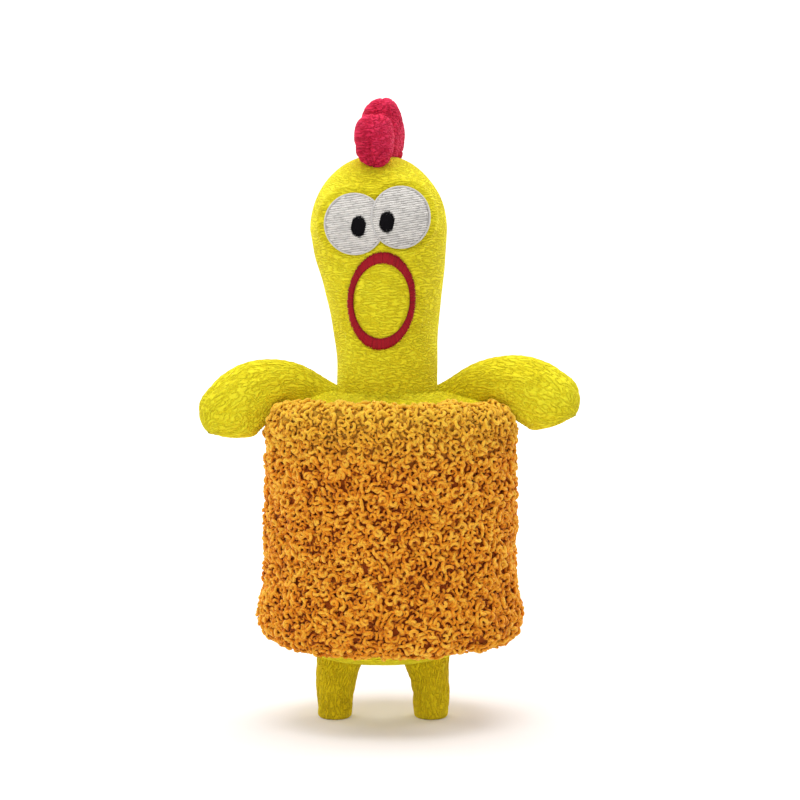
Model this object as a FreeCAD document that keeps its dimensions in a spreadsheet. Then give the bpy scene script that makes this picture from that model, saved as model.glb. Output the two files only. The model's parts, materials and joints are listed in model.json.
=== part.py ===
"""Stuffed toy chicken with a curly fleece body: a parametric FreeCAD document.

Every limb is a sewn skin around a fibre filling, and each layer is a loft through the same ellipses, drawn
in by the layers outside it.  A skin is cut along its side seams into a front and a back panel.  The toy
faces -Y, +Z is up and its soles stand on the plane Z = 0.  "left" and "right" are the toy's own, so its left
wing is on the +X side.
"""
import FreeCAD, Part
import Sketcher
import math
import os
import re

Vector, Rotation = FreeCAD.Vector, FreeCAD.Rotation
X_AXIS, Y_AXIS, Z_AXIS = Vector(1, 0, 0), Vector(0, 1, 0), Vector(0, 0, 1)

# Driving dimensions: lengths in millimetres, angles in degrees, *_flat is depth over width,
# *_shift is an offset along X from the toy's middle plane.
DIMENSIONS = {
    # cloth, and the gaps between layers that move together or apart
    "skin": 1.4,
    "fleece": 6.0,
    "thread": 0.8,
    "ease": 0.2,
    "gap": 0.4,
    "wad_slack": 3.0,
    # torso: a fleece drum that stands drum_bottom above the soles
    "drum_bottom": 40.0,
    "drum_height": 125.0,
    "drum_width": 130.0,
    "drum_waist": 127.5,
    "drum_hip": 136.0,
    "drum_flat": 0.73,
    "drum_top_edge": 9.0,
    "drum_low_edge": 13.0,
    "yoke_width": 104.0,
    "yoke_flat": 0.62,
    "seat_width": 84.0,
    "seat_flat": 0.8,
    "seat_drop": 8.5,
    "seat_shift": -3.9,
    # neck and head: heights run up from the neck's pivot
    "neck_rise": 7.0,
    "neck_length": 12.0,
    "neck_width": 51.6,
    "neck_flat": 0.9,
    "neck_shift": -1.5,
    "tilt_knuckle": 8.0,
    "tilt_range": 15.0,
    "throat_rise": 12.0,
    "jaw_rise": 42.0,
    "jaw_width": 62.0,
    "cheek_rise": 70.0,
    "cheek_width": 71.5,
    "crown_rise": 39.0,
    "head_shift": -5.9,
    # embroidery: heights run up from the head's pivot
    "eye_rise": 76.5,
    "eye_width": 31.0,
    "eye_tall": 31.5,
    "left_eye_shift": 4.6,
    "right_eye_shift": -20.5,
    "right_eye_drop": 3.2,
    "pupil_rise": 74.2,
    "pupil_width": 7.4,
    "pupil_tall": 9.6,
    "left_pupil_shift": -1.7,
    "right_pupil_shift": -16.6,
    "right_pupil_drop": 2.1,
    "mouth_rise": 34.9,
    "mouth_shift": -4.3,
    "mouth_width": 34.4,
    "mouth_tall": 50.4,
    "mouth_side_band": 3.2,
    "mouth_end_band": 5.8,
    "mouth_lean": 4.0,
    # comb: three lobes in a row along a line over the crown
    "comb_shift": -4.2,
    "comb_yaw": 14.0,
    "comb_undercut": 26.0,
    "comb_front_offset": -14.0,
    "comb_front_rise": 4.5,
    "comb_front_wide": 20.5,
    "comb_front_long": 24.0,
    "comb_front_tall": 29.0,
    "comb_middle_offset": 0.0,
    "comb_middle_rise": 8.4,
    "comb_middle_wide": 18.5,
    "comb_middle_long": 25.0,
    "comb_middle_tall": 37.0,
    "comb_rear_offset": 13.0,
    "comb_rear_rise": 6.5,
    "comb_rear_wide": 16.5,
    "comb_rear_long": 21.0,
    "comb_rear_tall": 30.0,
    # wings: an arched spine that leaves the shoulder upwards and bends down
    "wing_rise": 4.6,
    "wing_length": 54.0,
    "wing_root": 17.0,
    "wing_broad": 31.5,
    "wing_end": 30.0,
    "wing_cap": 14.0,
    "wing_flat": 0.78,
    "left_wing_lift": 27.0,
    "left_wing_bend": 70.0,
    "right_wing_lift": 27.0,
    "right_wing_bend": 76.0,
    # legs
    "leg_spacing": 48.9,
    "leg_shift": -3.9,
    "hip_drop": 5.0,
    "leg_width": 20.6,
    "leg_root": 22.4,
    "leg_flat": 0.98,
    "sole_width": 16.6,
    "sole_round": 5.0,
    # squeaker, pressed between the belly and the back
    "squeaker_rise": 60.0,
    "squeaker_radius": 22.0,
    "squeaker_wall": 1.0,
    "squeaker_cup": 9.0,
    "squeaker_fold": 8.0,
    "squeaker_pleat": 4.0,
    "squeaker_crown": 5.0,
    "reed_radius": 5.0,
    "reed_flange": 7.5,
    "reed_length": 9.0,
    "reed_bore": 3.4,
    "reed_leaf": 0.5,
    "pouch": 1.0,
}

# Heights, places and the radii of the rounded roots, which follow from the driving dimensions.
DRUM_TOP = "( drum_bottom + drum_height )"
NECK_PIVOT = f"( {DRUM_TOP} + neck_rise )"
NECK_RADIUS = "( neck_width / 2 * neck_flat + ease )"
TILT_PIVOT = f"( {NECK_PIVOT} + neck_length )"
CHEEK = f"( {TILT_PIVOT} + cheek_rise )"
CROWN = f"( {CHEEK} + crown_rise )"
LEG_PIVOT = "( drum_bottom - seat_drop - hip_drop )"
LEG_RADIUS = "( leg_root / 2 * max( 1 ; leg_flat ) + ease )"
WING_PIVOT = f"( {DRUM_TOP} + wing_rise )"
WING_RADIUS = "( wing_root / 2 + ease )"
SQUEAKER_LENGTH = "( squeaker_cup + squeaker_fold + squeaker_crown )"

FAR = 400.0  # reaches past the whole toy

DOC = FreeCAD.newDocument("StuffedChicken")
SHEET = DOC.addObject("Spreadsheet::Sheet", "Sizes")
NODES = []


def fill_sheet():
    """One row per driving dimension: its name, its value and an alias."""
    for row, (name, value) in enumerate(DIMENSIONS.items(), 1):
        SHEET.set(f"A{row}", name)
        SHEET.set(f"B{row}", str(value))
        SHEET.setAlias(f"B{row}", name)
    DOC.recompute()


def named(expression):
    """The expression with every driving dimension written as its cell in the sheet."""
    cell = lambda word: "Sizes." + word[0] if word[0] in DIMENSIONS else word[0]
    return re.sub(r"[a-z_]+", cell, expression)


def bind(item, **properties):
    """Binds properties to expressions; a double underscore stands for a sub-property's dot."""
    for path, expression in properties.items():
        item.setExpression(path.replace("__", "."), named(expression))
    return item


def add(kind, name, **properties):
    return bind(DOC.addObject("Part::" + kind, name), **properties)


def turned(item, axis, angle):
    """Turns an object about an axis; the angle is a number, or an expression that stays bound."""
    bound = isinstance(angle, str)
    item.Placement.Rotation = Rotation(axis, 1 if bound else angle)
    return bind(item, Placement__Rotation__Angle=angle) if bound else item


def two(kind, name, base, tool):
    made = DOC.addObject("Part::" + kind, name)
    made.Base, made.Tool = base, tool
    return made


def cut(name, base, *tools):
    """Base less each tool in turn."""
    for number, tool in enumerate(tools, 1):
        base = two("Cut", name if number == len(tools) else f"{name}_less_{number}", base, tool)
    return base


def common(name, base, tool):
    return two("Common", name, base, tool)


def fuse(name, *shapes):
    made = DOC.addObject("Part::MultiFuse", name)
    made.Shapes = list(shapes)
    return made


def mirrored(name, source, at="0"):
    made = add("Mirroring", name, Base__x=at)
    made.Source, made.Normal = source, X_AXIS
    return made


def node(item):
    """Marks an object as a sub-part; its label names its file."""
    NODES.append(item)
    return item


def block(name, low, size, **bound):
    box = DOC.addObject("Part::Box", name)
    box.Placement.Base = Vector(*low)
    box.Length, box.Width, box.Height = size
    return bind(box, **bound)


def panels(shell, front_name, back_name):
    """A skin or a filling parted in the plane of its side seams."""
    node(common(front_name, shell, FRONT_HALF))
    node(common(back_name, shell, BACK_HALF))


# ---------------------------------------------------------------- lofts through ellipses


def ellipse(name, across, along, x="0", y="0", z="0", lean="0"):
    """An ellipse that measures across along X and along along Y, leaning about Z."""
    return add(
        "Ellipse",
        name,
        MajorRadius=f"max( {across} ; {along} ) / 2",
        MinorRadius=f"min( {across} ; {along} ) / 2",
        Placement__Base__x=x,
        Placement__Base__y=y,
        Placement__Base__z=z,
        Placement__Rotation__Angle=f"( ( {along} ) > ( {across} ) ? 90 : 0 ) + {lean}",
    )


def station(x, z, width, turn=None):
    """A cross-section's place in the XZ plane, its width there, and its turn about Y."""
    return {"x": x, "z": z, "width": width, "turn": turn}


def mixed(low, high, share):
    """The value that lies a share of the way from low to high."""
    return f"( {low} ) * {1 - share:g} + ( {high} ) * {share:g}"


def loft(name, stations, flat, inset):
    """A solid through one ellipse per station, drawn in by inset all round."""
    sections = []
    for number, place in enumerate(stations):
        size = {
            "MajorRadius": f"( {place['width']} ) / 2 * max( 1 ; {flat} ) - ( {inset} )",
            "MinorRadius": f"( {place['width']} ) / 2 * min( 1 ; {flat} ) - ( {inset} )",
        }
        at = {"Placement__Base__x": place["x"], "Placement__Base__z": place["z"]}
        section = add("Ellipse", f"{name}_section_{number}", **size, **at)
        sections.append(turned(section, Y_AXIS, place["turn"]) if place["turn"] else section)
    made = DOC.addObject("Part::Loft", name)
    made.Sections, made.Solid = sections, True
    return made


def dome(x, z, width, rise, inset, heading=None, angles=(18, 36, 54, 70, 82)):
    """Stations that close a tube with a dome, straight up or along a heading above the horizontal."""
    stations = []
    for angle in angles:
        up, across = math.sin(math.radians(angle)), math.cos(math.radians(angle))
        reach = f"( {rise} - ( {inset} ) ) * {up:.5f}"
        # the loft draws each width in by the whole inset, which would close the dome too early
        kept = f"( {width} ) * {across:.5f} + 2 * ( {inset} ) * {1 - across:.5f}"
        if heading:
            side, lift = f"{x} + {reach} * cos( {heading} )", f"{z} + {reach} * sin( {heading} )"
            stations.append(station(side, lift, kept, f"90 - {heading}"))
        else:
            stations.append(station(x, f"{z} + {reach}", kept))
    return stations


def plate(name, across, along, x, low, thick):
    """An upright elliptical disc from the height low, thick high."""
    made = DOC.addObject("Part::Extrusion", name)
    made.Base = ellipse(name + "_rim", across, along, x=x, z=low)
    made.DirMode, made.Dir, made.Solid = "Custom", Z_AXIS, True
    return bind(made, LengthFwd=thick)


def roller(name, radius, x, z, axis, reach=None):
    """A cylinder about a hinge line: along X from x for reach, or along Y right through the toy."""
    made = add("Cylinder", name, Radius=radius, Placement__Base__x=x, Placement__Base__z=z)
    if axis == "X":
        return bind(turned(made, Y_AXIS, 90), Height=reach)
    made.Height = 2 * FAR
    made.Placement.Base.y = FAR
    return turned(made, X_AXIS, 90)


# ---------------------------------------------------------------- torso


def drum(name, inset, slack="0"):
    """The fleece drum: a rounded top edge, a slight waist, full hips and a rounded lower edge.
    Slack rounds both edges more, as a wad of filling is inside its skin."""
    low_edge = f"( drum_low_edge - ( {inset} ) + {slack} )"
    top_edge = f"( drum_top_edge - ( {inset} ) + {slack} )"
    corner = [(math.cos(math.radians(angle)), math.sin(math.radians(angle))) for angle in (0, 30, 60, 90)]
    stations = []
    for out, over in reversed(corner):
        height = f"drum_bottom + ( {inset} ) + {low_edge} * {1 - over:.5f}"
        stations.append(station("0", height, f"drum_hip - 2 * {low_edge} * {1 - out:.5f}"))
    for share, width in ((0.3, "drum_width"), (0.55, "drum_width"), (0.78, "drum_waist")):
        stations.append(station("0", f"drum_bottom + drum_height * {share}", width))
    for out, over in corner:
        height = f"{DRUM_TOP} - ( {inset} ) - {top_edge} * {1 - over:.5f}"
        stations.append(station("0", height, f"drum_width - 2 * {top_edge} * {1 - out:.5f}"))
    return loft(name, stations, "drum_flat", inset)


def seat_dish(name, inset):
    """A shallow dome that hangs below the drum, with a straight wall that passes through the fleece."""
    wall = ("drum_bottom + drum_low_edge", "drum_bottom + fleece", "drum_bottom")
    stations = [station("seat_shift", height, "seat_width") for height in wall]
    drop = f"( seat_drop - ( {inset} ) )"
    for angle in (25, 50, 70):
        down, across = math.sin(math.radians(angle)), math.cos(math.radians(angle))
        width = f"seat_width * {across:.5f} + 2 * ( {inset} ) * {1 - across:.5f}"
        stations.append(station("seat_shift", f"drum_bottom - {drop} * {down:.5f}", width))
    return loft(name, stations, "seat_flat", inset)


def torso(hollows):
    """Fleece panels, the yellow yoke and seat, and two wads of filling around the squeaker."""
    yoke_along = "yoke_width * yoke_flat"
    below_top = f"{DRUM_TOP} - drum_top_edge"
    yoke_hole = plate("yoke_hole", "yoke_width", yoke_along, "0", below_top, "2 * drum_top_edge")
    openings = [yoke_hole, seat_dish("seat_hole", "0")]
    shell = cut("fleece_shell", drum("drum_outside", "0"), drum("drum_inside", "fleece"), *openings, *hollows)
    # a seam round the middle parts the fleece into an upper and a lower band
    middle, corner, size = "drum_bottom + drum_height / 2", (-FAR, -FAR, 0), (2 * FAR, 2 * FAR, FAR)
    upper = block("above_middle", corner, size, Placement__Base__z=middle)
    lower = block("below_middle", corner, size, Height=middle)
    panels(common("fleece_upper_band", shell, upper), "fleece_front_upper", "fleece_back_upper")
    panels(common("fleece_lower_band", shell, lower), "fleece_front_lower", "fleece_back_lower")

    yoke_low = f"{DRUM_TOP} - fleece + gap"
    narrow, shallow = "yoke_width - 2 * gap", f"{yoke_along} - 2 * gap"
    node(cut("shoulder_yoke", plate("yoke_disc", narrow, shallow, "0", yoke_low, "skin"), *hollows))

    above = block("above_seat", corner, size, Placement__Base__z="drum_bottom + fleece")
    outside, inside = seat_dish("dish_outside", "gap"), seat_dish("dish_inside", "gap + skin")
    node(cut("seat_panel", outside, inside, above, *hollows))

    low_fill = seat_dish("dish_filling", "gap + skin + ease")
    fill = fuse("torso_filling", drum("drum_filling", "fleece + gap", "wad_slack"), low_fill)
    hollowed = cut("torso_filling_hollowed", fill, *hollows, squeaker_room())
    panels(hollowed, "torso_filling_front", "torso_filling_back")


# ---------------------------------------------------------------- neck and head


def head_tube(name, inset):
    """Neck, jaw, cheeks and crown in one stuffed tube that leans a little to the toy's right."""
    foot, throat = f"{NECK_PIVOT} - {NECK_RADIUS} - skin", f"{NECK_PIVOT} + throat_rise"
    straight = (foot, mixed(foot, NECK_PIVOT, 0.5), NECK_PIVOT, throat)
    stations = [station("neck_shift", height, "neck_width") for height in straight]
    jaw = f"{TILT_PIVOT} + jaw_rise"
    for height, lean, width in (
        (mixed(throat, jaw, 0.5), 0.2, mixed("neck_width", "jaw_width", 0.25)),
        (jaw, 0.5, "jaw_width"),
        (mixed(jaw, CHEEK, 0.5), 0.8, mixed("jaw_width", "cheek_width", 0.6)),
        (CHEEK, 1, "cheek_width"),
    ):
        stations.append(station(mixed("neck_shift", "head_shift", lean), height, width))
    stations += dome("head_shift", CHEEK, "cheek_width", "crown_rise", inset)
    return loft(name, stations, "neck_flat", inset)


def neck():
    """The short tube between the hinge in the yoke and the hinge below the jaw."""
    root = roller("neck_root", NECK_RADIUS, "neck_shift - neck_width", NECK_PIVOT, "X", "2 * neck_width")
    above = block("neck_above", (-FAR, -FAR, 0), (2 * FAR, 2 * FAR, FAR), Placement__Base__z=NECK_PIVOT)
    below = block("neck_below", (-FAR, -FAR, 0), (2 * FAR, 2 * FAR, FAR), Height=TILT_PIVOT)
    knuckle = roller("neck_knuckle", "tilt_knuckle", "neck_shift", TILT_PIVOT, "Y")
    room = common("neck_room", fuse("neck_upward", root, above), fuse("neck_downward", below, knuckle))
    shell = cut("neck_shell", head_tube("neck_outside", "0"), head_tube("neck_inside", "skin"))
    panels(common("neck_skin", shell, room), "neck_front_panel", "neck_back_panel")
    node(common("neck_filling", head_tube("neck_core", "skin + ease"), room))


def neck_hollow():
    """Where the neck's round root turns in the torso."""
    start, reach = "neck_shift - neck_width / 2 - gap", "neck_width + 2 * gap"
    return roller("neck_hollow", f"{NECK_RADIUS} + gap", start, NECK_PIVOT, "X", reach)


def head_clearance():
    """What the head leaves free, so that it can tilt on the neck's knuckle to both sides."""
    slope = "( tilt_range + 3 )"  # three degrees more than it turns
    slab = block("tilt_slab", (0, -FAR, 0), (FAR, 2 * FAR, FAR))
    bind(slab, Placement__Base__x=f"neck_shift + {FAR} * sin( {slope} )")
    bind(slab, Placement__Base__z=f"{TILT_PIVOT} - {FAR} * cos( {slope} )")
    turned(slab, -Y_AXIS, slope)
    other = mirrored("tilt_slab_mirrored", slab, "neck_shift")
    below = block("head_below", (-FAR, -FAR, 0), (2 * FAR, 2 * FAR, FAR), Height=TILT_PIVOT)
    knuckle = roller("head_knuckle", "tilt_knuckle + gap", "neck_shift", TILT_PIVOT, "Y")
    return fuse("head_clearance", slab, other, below, knuckle)


def oval(name, x, z, width, tall, lean="0"):
    """An upright elliptical bar that runs forward from the middle plane."""
    made = DOC.addObject("Part::Extrusion", name)
    made.Base = ellipse(name + "_rim", width, tall, x=x, y=z, lean=lean)
    made.DirMode, made.Dir, made.Solid = "Custom", Z_AXIS, True
    made.LengthFwd = FAR
    return turned(made, X_AXIS, 90)


def head():
    """The face and the back of the head, their filling, and the embroidery that stands on the face."""
    free = head_clearance()
    outside = head_tube("head_outside", "0")
    shell = cut("head_shell", outside, head_tube("head_inside", "skin"), free)
    panels(shell, "face_panel", "head_back_panel")
    node(cut("head_filling", head_tube("head_core", "skin + ease"), free))

    raised = cut("stitch_layer", head_tube("stitch_outside", "-thread"), outside, free)
    eye_height, pupil_height = f"{TILT_PIVOT} + eye_rise", f"{TILT_PIVOT} + pupil_rise"
    left = oval("left_eye_outline", "left_eye_shift", eye_height, "eye_width", "eye_tall")
    right_height = f"{eye_height} - right_eye_drop"
    right = oval("right_eye_outline", "right_eye_shift", right_height, "eye_width", "eye_tall")
    left_pupil = oval("left_pupil_outline", "left_pupil_shift", pupil_height, "pupil_width", "pupil_tall")
    low_pupil = f"{pupil_height} - right_pupil_drop"
    right_pupil = oval("right_pupil_outline", "right_pupil_shift", low_pupil, "pupil_width", "pupil_tall")
    node(cut("left_eye", common("left_eye_disc", raised, left), left_pupil))
    node(cut("right_eye", common("right_eye_disc", raised, right), left, right_pupil))
    node(common("left_pupil", raised, left_pupil))
    node(cut("right_pupil", common("right_pupil_disc", raised, right_pupil), left))

    middle = ("mouth_shift", f"{TILT_PIVOT} + mouth_rise")
    rim = oval("mouth_outline", *middle, "mouth_width", "mouth_tall", "mouth_lean")
    within = ("mouth_width - 2 * mouth_side_band", "mouth_tall - 2 * mouth_end_band")
    opening = oval("mouth_inside", *middle, *within, "mouth_lean")
    node(cut("mouth_ring", common("mouth_disc", raised, rim), opening))


# ---------------------------------------------------------------- comb


def lobes(name, inset):
    """Three egg-shaped lobes in a row, in the comb's own frame with its hinge line on the Y axis."""
    eggs = []
    for place in ("front", "middle", "rear"):
        key = f"comb_{place}"
        egg = add(
            "Ellipsoid",
            f"{name}_{place}",
            Radius1=f"{key}_tall / 2 - ( {inset} )",
            Radius2=f"{key}_wide / 2 - ( {inset} )",
            Radius3=f"{key}_long / 2 - ( {inset} )",
            Placement__Base__y=f"{key}_offset",
            Placement__Base__z=f"{key}_rise",
        )
        eggs.append(egg)
    return fuse(name, *eggs)


def seated_comb(item):
    """Stands a piece of the comb on the crown, its row of lobes turned a little to the toy's left."""
    bind(item, Placement__Base__x="comb_shift", Placement__Base__z=f"{CROWN} + gap")
    return node(turned(item, -Z_AXIS, "comb_yaw"))


def comb():
    """A left and a right felt panel around a filling, cut away below so that the comb can flop."""
    slab = block("comb_slab", (0, -FAR, 0), (FAR, 2 * FAR, FAR))
    bind(slab, Placement__Base__x=f"{FAR} * sin( comb_undercut )")
    bind(slab, Placement__Base__z=f"-{FAR} * cos( comb_undercut )")
    turned(slab, -Y_AXIS, "comb_undercut")
    below = block("comb_below", (-FAR, -FAR, -FAR), (2 * FAR, 2 * FAR, FAR))
    free = fuse("comb_clearance", slab, mirrored("comb_slab_mirrored", slab), below)
    shell = cut("comb_shell", lobes("comb_outside", "0"), lobes("comb_inside", "skin"), free)
    left_half = block("comb_left_half", (0, -FAR, -FAR), (FAR, 2 * FAR, 2 * FAR))
    seated_comb(common("comb_left_panel", shell, left_half))
    seated_comb(cut("comb_right_panel", shell, left_half))
    seated_comb(cut("comb_filling", lobes("comb_core", "skin + ease"), free))


# ---------------------------------------------------------------- wings


def wing_tube(name, side, inset):
    """A wing drawn on the +X side: an arched spine with its widest part halfway, closed by a dome."""
    lift, bend = f"{side}_wing_lift", f"{side}_wing_bend"
    x, z = wing_pivot(side)
    radius = f"( wing_length * 180 / ( pi * {bend} ) )"

    def spine(share):
        heading = f"( {lift} - {bend} * {share} )"
        along = f"{x} + {radius} * ( sin( {lift} ) - sin( {heading} ) )"
        return along, f"{z} + {radius} * ( cos( {heading} ) - cos( {lift} ) )", heading

    back = f"( {WING_RADIUS} + skin )"
    behind = f"{x} - {back} * cos( {lift} )", f"{z} - {back} * sin( {lift} )"
    stations = [station(*behind, "wing_root", f"90 - {lift}")]
    for share, growth in ((0, 0), (0.2, 0.45), (0.4, 0.82), (0.6, 1)):
        along, up, heading = spine(share)
        stations.append(station(along, up, mixed("wing_root", "wing_broad", growth), f"90 - {heading}"))
    for share, loss in ((0.8, 0.3), (1, 1)):
        along, up, heading = spine(share)
        stations.append(station(along, up, mixed("wing_broad", "wing_end", loss), f"90 - {heading}"))
    along, up, heading = spine(1)
    stations += dome(along, up, "wing_end", "wing_cap", inset, heading)
    return loft(name, stations, "wing_flat", inset)


def wing_pivot(side):
    """The wing's hinge line, a gap outside the neck; both sides are drawn towards +X."""
    lean = "neck_shift" if side == "left" else "( - neck_shift )"
    return f"( {lean} + neck_width / 2 + gap + {WING_RADIUS} )", WING_PIVOT


def wing(side):
    """Front and back panels around a filling, with a root rounded about the hinge line."""
    x, z = wing_pivot(side)
    root = roller(f"{side}_wing_root", WING_RADIUS, x, z, "Y")
    beyond = block(f"{side}_wing_beyond", (0, -FAR, 0), (FAR, 2 * FAR, 2 * FAR))
    lift = f"{side}_wing_lift"
    bind(beyond, Placement__Base__x=f"{x} + {FAR} * sin( {lift} )")
    bind(beyond, Placement__Base__z=f"{z} - {FAR} * cos( {lift} )")
    turned(beyond, -Y_AXIS, lift)
    room = fuse(f"{side}_wing_room", root, beyond)
    shell = cut(f"{side}_wing_shell", wing_tube(f"{side}_wing_outside", side, "0"),
                wing_tube(f"{side}_wing_inside", side, "skin"))
    skin = common(f"{side}_wing_skin", shell, room)
    core = common(f"{side}_wing_core", wing_tube(f"{side}_wing_core_tube", side, "skin + ease"), room)
    if side == "right":
        skin, core = mirrored("right_wing_skin_mirrored", skin), mirrored("right_wing_core_mirrored", core)
    panels(skin, f"{side}_wing_front_panel", f"{side}_wing_back_panel")
    core.Label = f"{side}_wing_filling"
    node(core)


def wing_hollow(side):
    """The dent that the folded wing lies in, and the room for its root to turn."""
    dent = wing_tube(f"{side}_wing_dent", side, "-gap")
    turning = roller(f"{side}_wing_turning", f"{WING_RADIUS} + gap", *wing_pivot(side), "Y")
    broad = block(f"{side}_wing_turning_room", (-FAR, 0, 0), (2 * FAR, FAR, FAR))
    deep = "wing_root * wing_flat"
    bind(broad, Placement__Base__y=f"- {deep} / 2 - gap", Width=f"{deep} + 2 * gap")
    hollow = fuse(f"{side}_wing_hollow", dent, common(f"{side}_wing_socket", turning, broad))
    return mirrored("right_wing_hollow_mirrored", hollow) if side == "right" else hollow


# ---------------------------------------------------------------- legs


def leg_place(side):
    return f"( leg_shift {'+' if side == 'left' else '-'} leg_spacing / 2 )"


def leg_ball(name, side, clearance):
    """A ball around the hip, which the leg's top fills and the torso leaves free."""
    x = leg_place(side)
    return add("Sphere", name, Radius=f"{LEG_RADIUS} + {clearance}", Placement__Base__x=x,
               Placement__Base__z=LEG_PIVOT)


def leg_tube(name, side, inset):
    """A soft tube from a flat, round-edged sole up past the hip."""
    x = leg_place(side)
    stations = []
    for angle in (90, 60, 30, 0):
        out, over = math.cos(math.radians(angle)), math.sin(math.radians(angle))
        width = f"sole_width + ( leg_width - sole_width ) * {out:.5f}"
        stations.append(station(x, f"{inset} + ( sole_round - ( {inset} ) ) * {1 - over:.5f}", width))
    stations.append(station(x, f"{LEG_PIVOT} * 0.6", "leg_width"))
    stations.append(station(x, LEG_PIVOT, "leg_root"))
    stations.append(station(x, f"{LEG_PIVOT} + {LEG_RADIUS} + skin", "leg_root"))
    return loft(name, stations, "leg_flat", inset)


def leg(side):
    """Front and back panels around a filling, with a top rounded about the hip."""
    below = block(f"{side}_leg_below", (-FAR, -FAR, -1), (2 * FAR, 2 * FAR, FAR), Height=f"{LEG_PIVOT} + 1")
    room = fuse(f"{side}_leg_room", leg_ball(f"{side}_leg_top", side, "0"), below)
    outside, inside = leg_tube(f"{side}_leg_outside", side, "0"), leg_tube(f"{side}_leg_inside", side, "skin")
    shell = cut(f"{side}_leg_shell", outside, inside)
    panels(common(f"{side}_leg_skin", shell, room), f"{side}_leg_front_panel", f"{side}_leg_back_panel")
    node(common(f"{side}_leg_filling", leg_tube(f"{side}_leg_core", side, "skin + ease"), room))


# ---------------------------------------------------------------- squeaker


def squeaker_barrel(name, radius, margin):
    """A cylinder along Y around the squeaker, longer than it by the margin at both ends."""
    made = add("Cylinder", name, Radius=radius, Height=f"{SQUEAKER_LENGTH} + 2 * ( {margin} )")
    bind(made, Placement__Base__y=f"{SQUEAKER_LENGTH} / 2 + {margin}")
    bind(made, Placement__Base__z="drum_bottom + squeaker_rise")
    return turned(made, X_AXIS, 90)


def squeaker_room():
    """The pocket between the two wads of filling."""
    return squeaker_barrel("squeaker_room", "squeaker_radius + pouch + 2 * gap", "pouch + 2 * gap")


def lathe(name, outline):
    """A turned plastic piece; its outline is radius and height above the squeaker's back face."""
    body = DOC.addObject("PartDesign::Body", name)
    sketch = body.newObject("Sketcher::SketchObject", name + "_outline")
    plane = [item for item in body.Origin.OriginFeatures if item.Role == "XZ_Plane"][0]
    sketch.AttachmentSupport, sketch.MapMode = [(plane, "")], "FlatFace"
    count = len(outline)
    corner = [Vector(math.cos(turn), math.sin(turn), 0) * 20 + Vector(30, 30, 0)
              for turn in (2 * math.pi * number / count for number in range(count))]
    for number in range(count):
        sketch.addGeometry(Part.LineSegment(corner[number], corner[(number + 1) % count]), False)
    for number in range(count):
        sketch.addConstraint(Sketcher.Constraint("Coincident", number, 2, (number + 1) % count, 1))
    for number, place in enumerate(outline):
        for kind, axis, distance in zip(("DistanceX", "DistanceY"), (-2, -1), place):
            if distance == "0":
                sketch.addConstraint(Sketcher.Constraint("PointOnObject", number, 1, axis))
                continue
            held = sketch.addConstraint(Sketcher.Constraint(kind, -1, 1, number, 1, 1.0))
            sketch.setExpression(f"Constraints[{held}]", named(distance))
    turning = body.newObject("PartDesign::Revolution", name + "_turning")
    turning.Profile, turning.ReferenceAxis, turning.Angle = sketch, (sketch, ["V_Axis"]), 360
    # the cup is at the back and the crown faces the belly
    body.Placement.Rotation = Rotation(X_AXIS, 90)
    bind(body, Placement__Base__y=f"{SQUEAKER_LENGTH} / 2", Placement__Base__z="drum_bottom + squeaker_rise")
    return node(body)


def squeaker():
    """A cup with a reed, a pleated wall and a crown that is pressed towards the cup, in a cloth pouch."""
    outer, inner, wall = "squeaker_radius", "( squeaker_radius - squeaker_wall )", "squeaker_wall"
    hole = "reed_radius + ease"
    cup = [(hole, "0"), (outer, "0"), (outer, "squeaker_cup")]
    cup += [(inner, "squeaker_cup"), (inner, wall), (hole, wall)]
    lathe("squeaker_cup", cup)

    flange = "( squeaker_wall + ease )"
    reed = [("reed_bore", "0"), ("reed_radius", "0"), ("reed_radius", flange), ("reed_flange", flange),
            ("reed_flange", f"{flange} + {wall}"), ("reed_radius", f"{flange} + {wall}"),
            ("reed_radius", "reed_length"), ("reed_bore", "reed_length")]
    lathe("squeaker_reed", reed)

    start, reach = "squeaker_cup + ease", "( squeaker_fold - 2 * ease )"
    edge = [(outer if number % 2 == 0 else f"( {outer} - squeaker_pleat )", f"{start} + {reach} * {number / 4}")
            for number in range(5)]
    lathe("squeaker_bellows", edge + [(f"{radius} - {wall}", height) for radius, height in reversed(edge)])

    foot, top = "squeaker_cup + squeaker_fold", SQUEAKER_LENGTH
    crown = [("0", top), (outer, top), (outer, foot)]
    crown += [(inner, foot), (inner, f"{top} - {wall}"), ("0", f"{top} - {wall}")]
    lathe("squeaker_crown", crown)

    leaf = add("Box", "reed_leaf", Length="2 * ( reed_bore - ease )", Height="reed_leaf",
               Width="reed_length - 2 * squeaker_wall", Placement__Base__x="ease - reed_bore",
               Placement__Base__z="drum_bottom + squeaker_rise - reed_leaf / 2",
               Placement__Base__y=f"{SQUEAKER_LENGTH} / 2 - reed_length + squeaker_wall")
    node(leaf)

    pocket = cut("pouch_shell", squeaker_barrel("pouch_outside", "squeaker_radius + gap + pouch", "gap + pouch"),
                 squeaker_barrel("pouch_inside", "squeaker_radius + gap", "gap"))
    panels(pocket, "squeaker_pouch_front", "squeaker_pouch_back")


# ---------------------------------------------------------------- assembly


def check_and_write():
    """Stops on any failed object; writes one STEP file per sub-part."""
    DOC.recompute()
    failed = [item.Name for item in DOC.Objects if {"Invalid", "Error"} & set(item.State)]
    for item in NODES:
        if item.Shape.isNull() or not item.Shape.isValid() or not item.Shape.Solids:
            failed.append(item.Label)
    if failed:
        raise SystemExit("failed: " + ", ".join(failed))
    os.makedirs("parts", exist_ok=True)
    for item in NODES:
        item.Shape.exportStep(os.path.join("parts", item.Label + ".step"))
        print(f"{item.Label:24s} {len(item.Shape.Solids)} solid(s) {item.Shape.Volume / 1000:9.2f} cm3")


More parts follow.
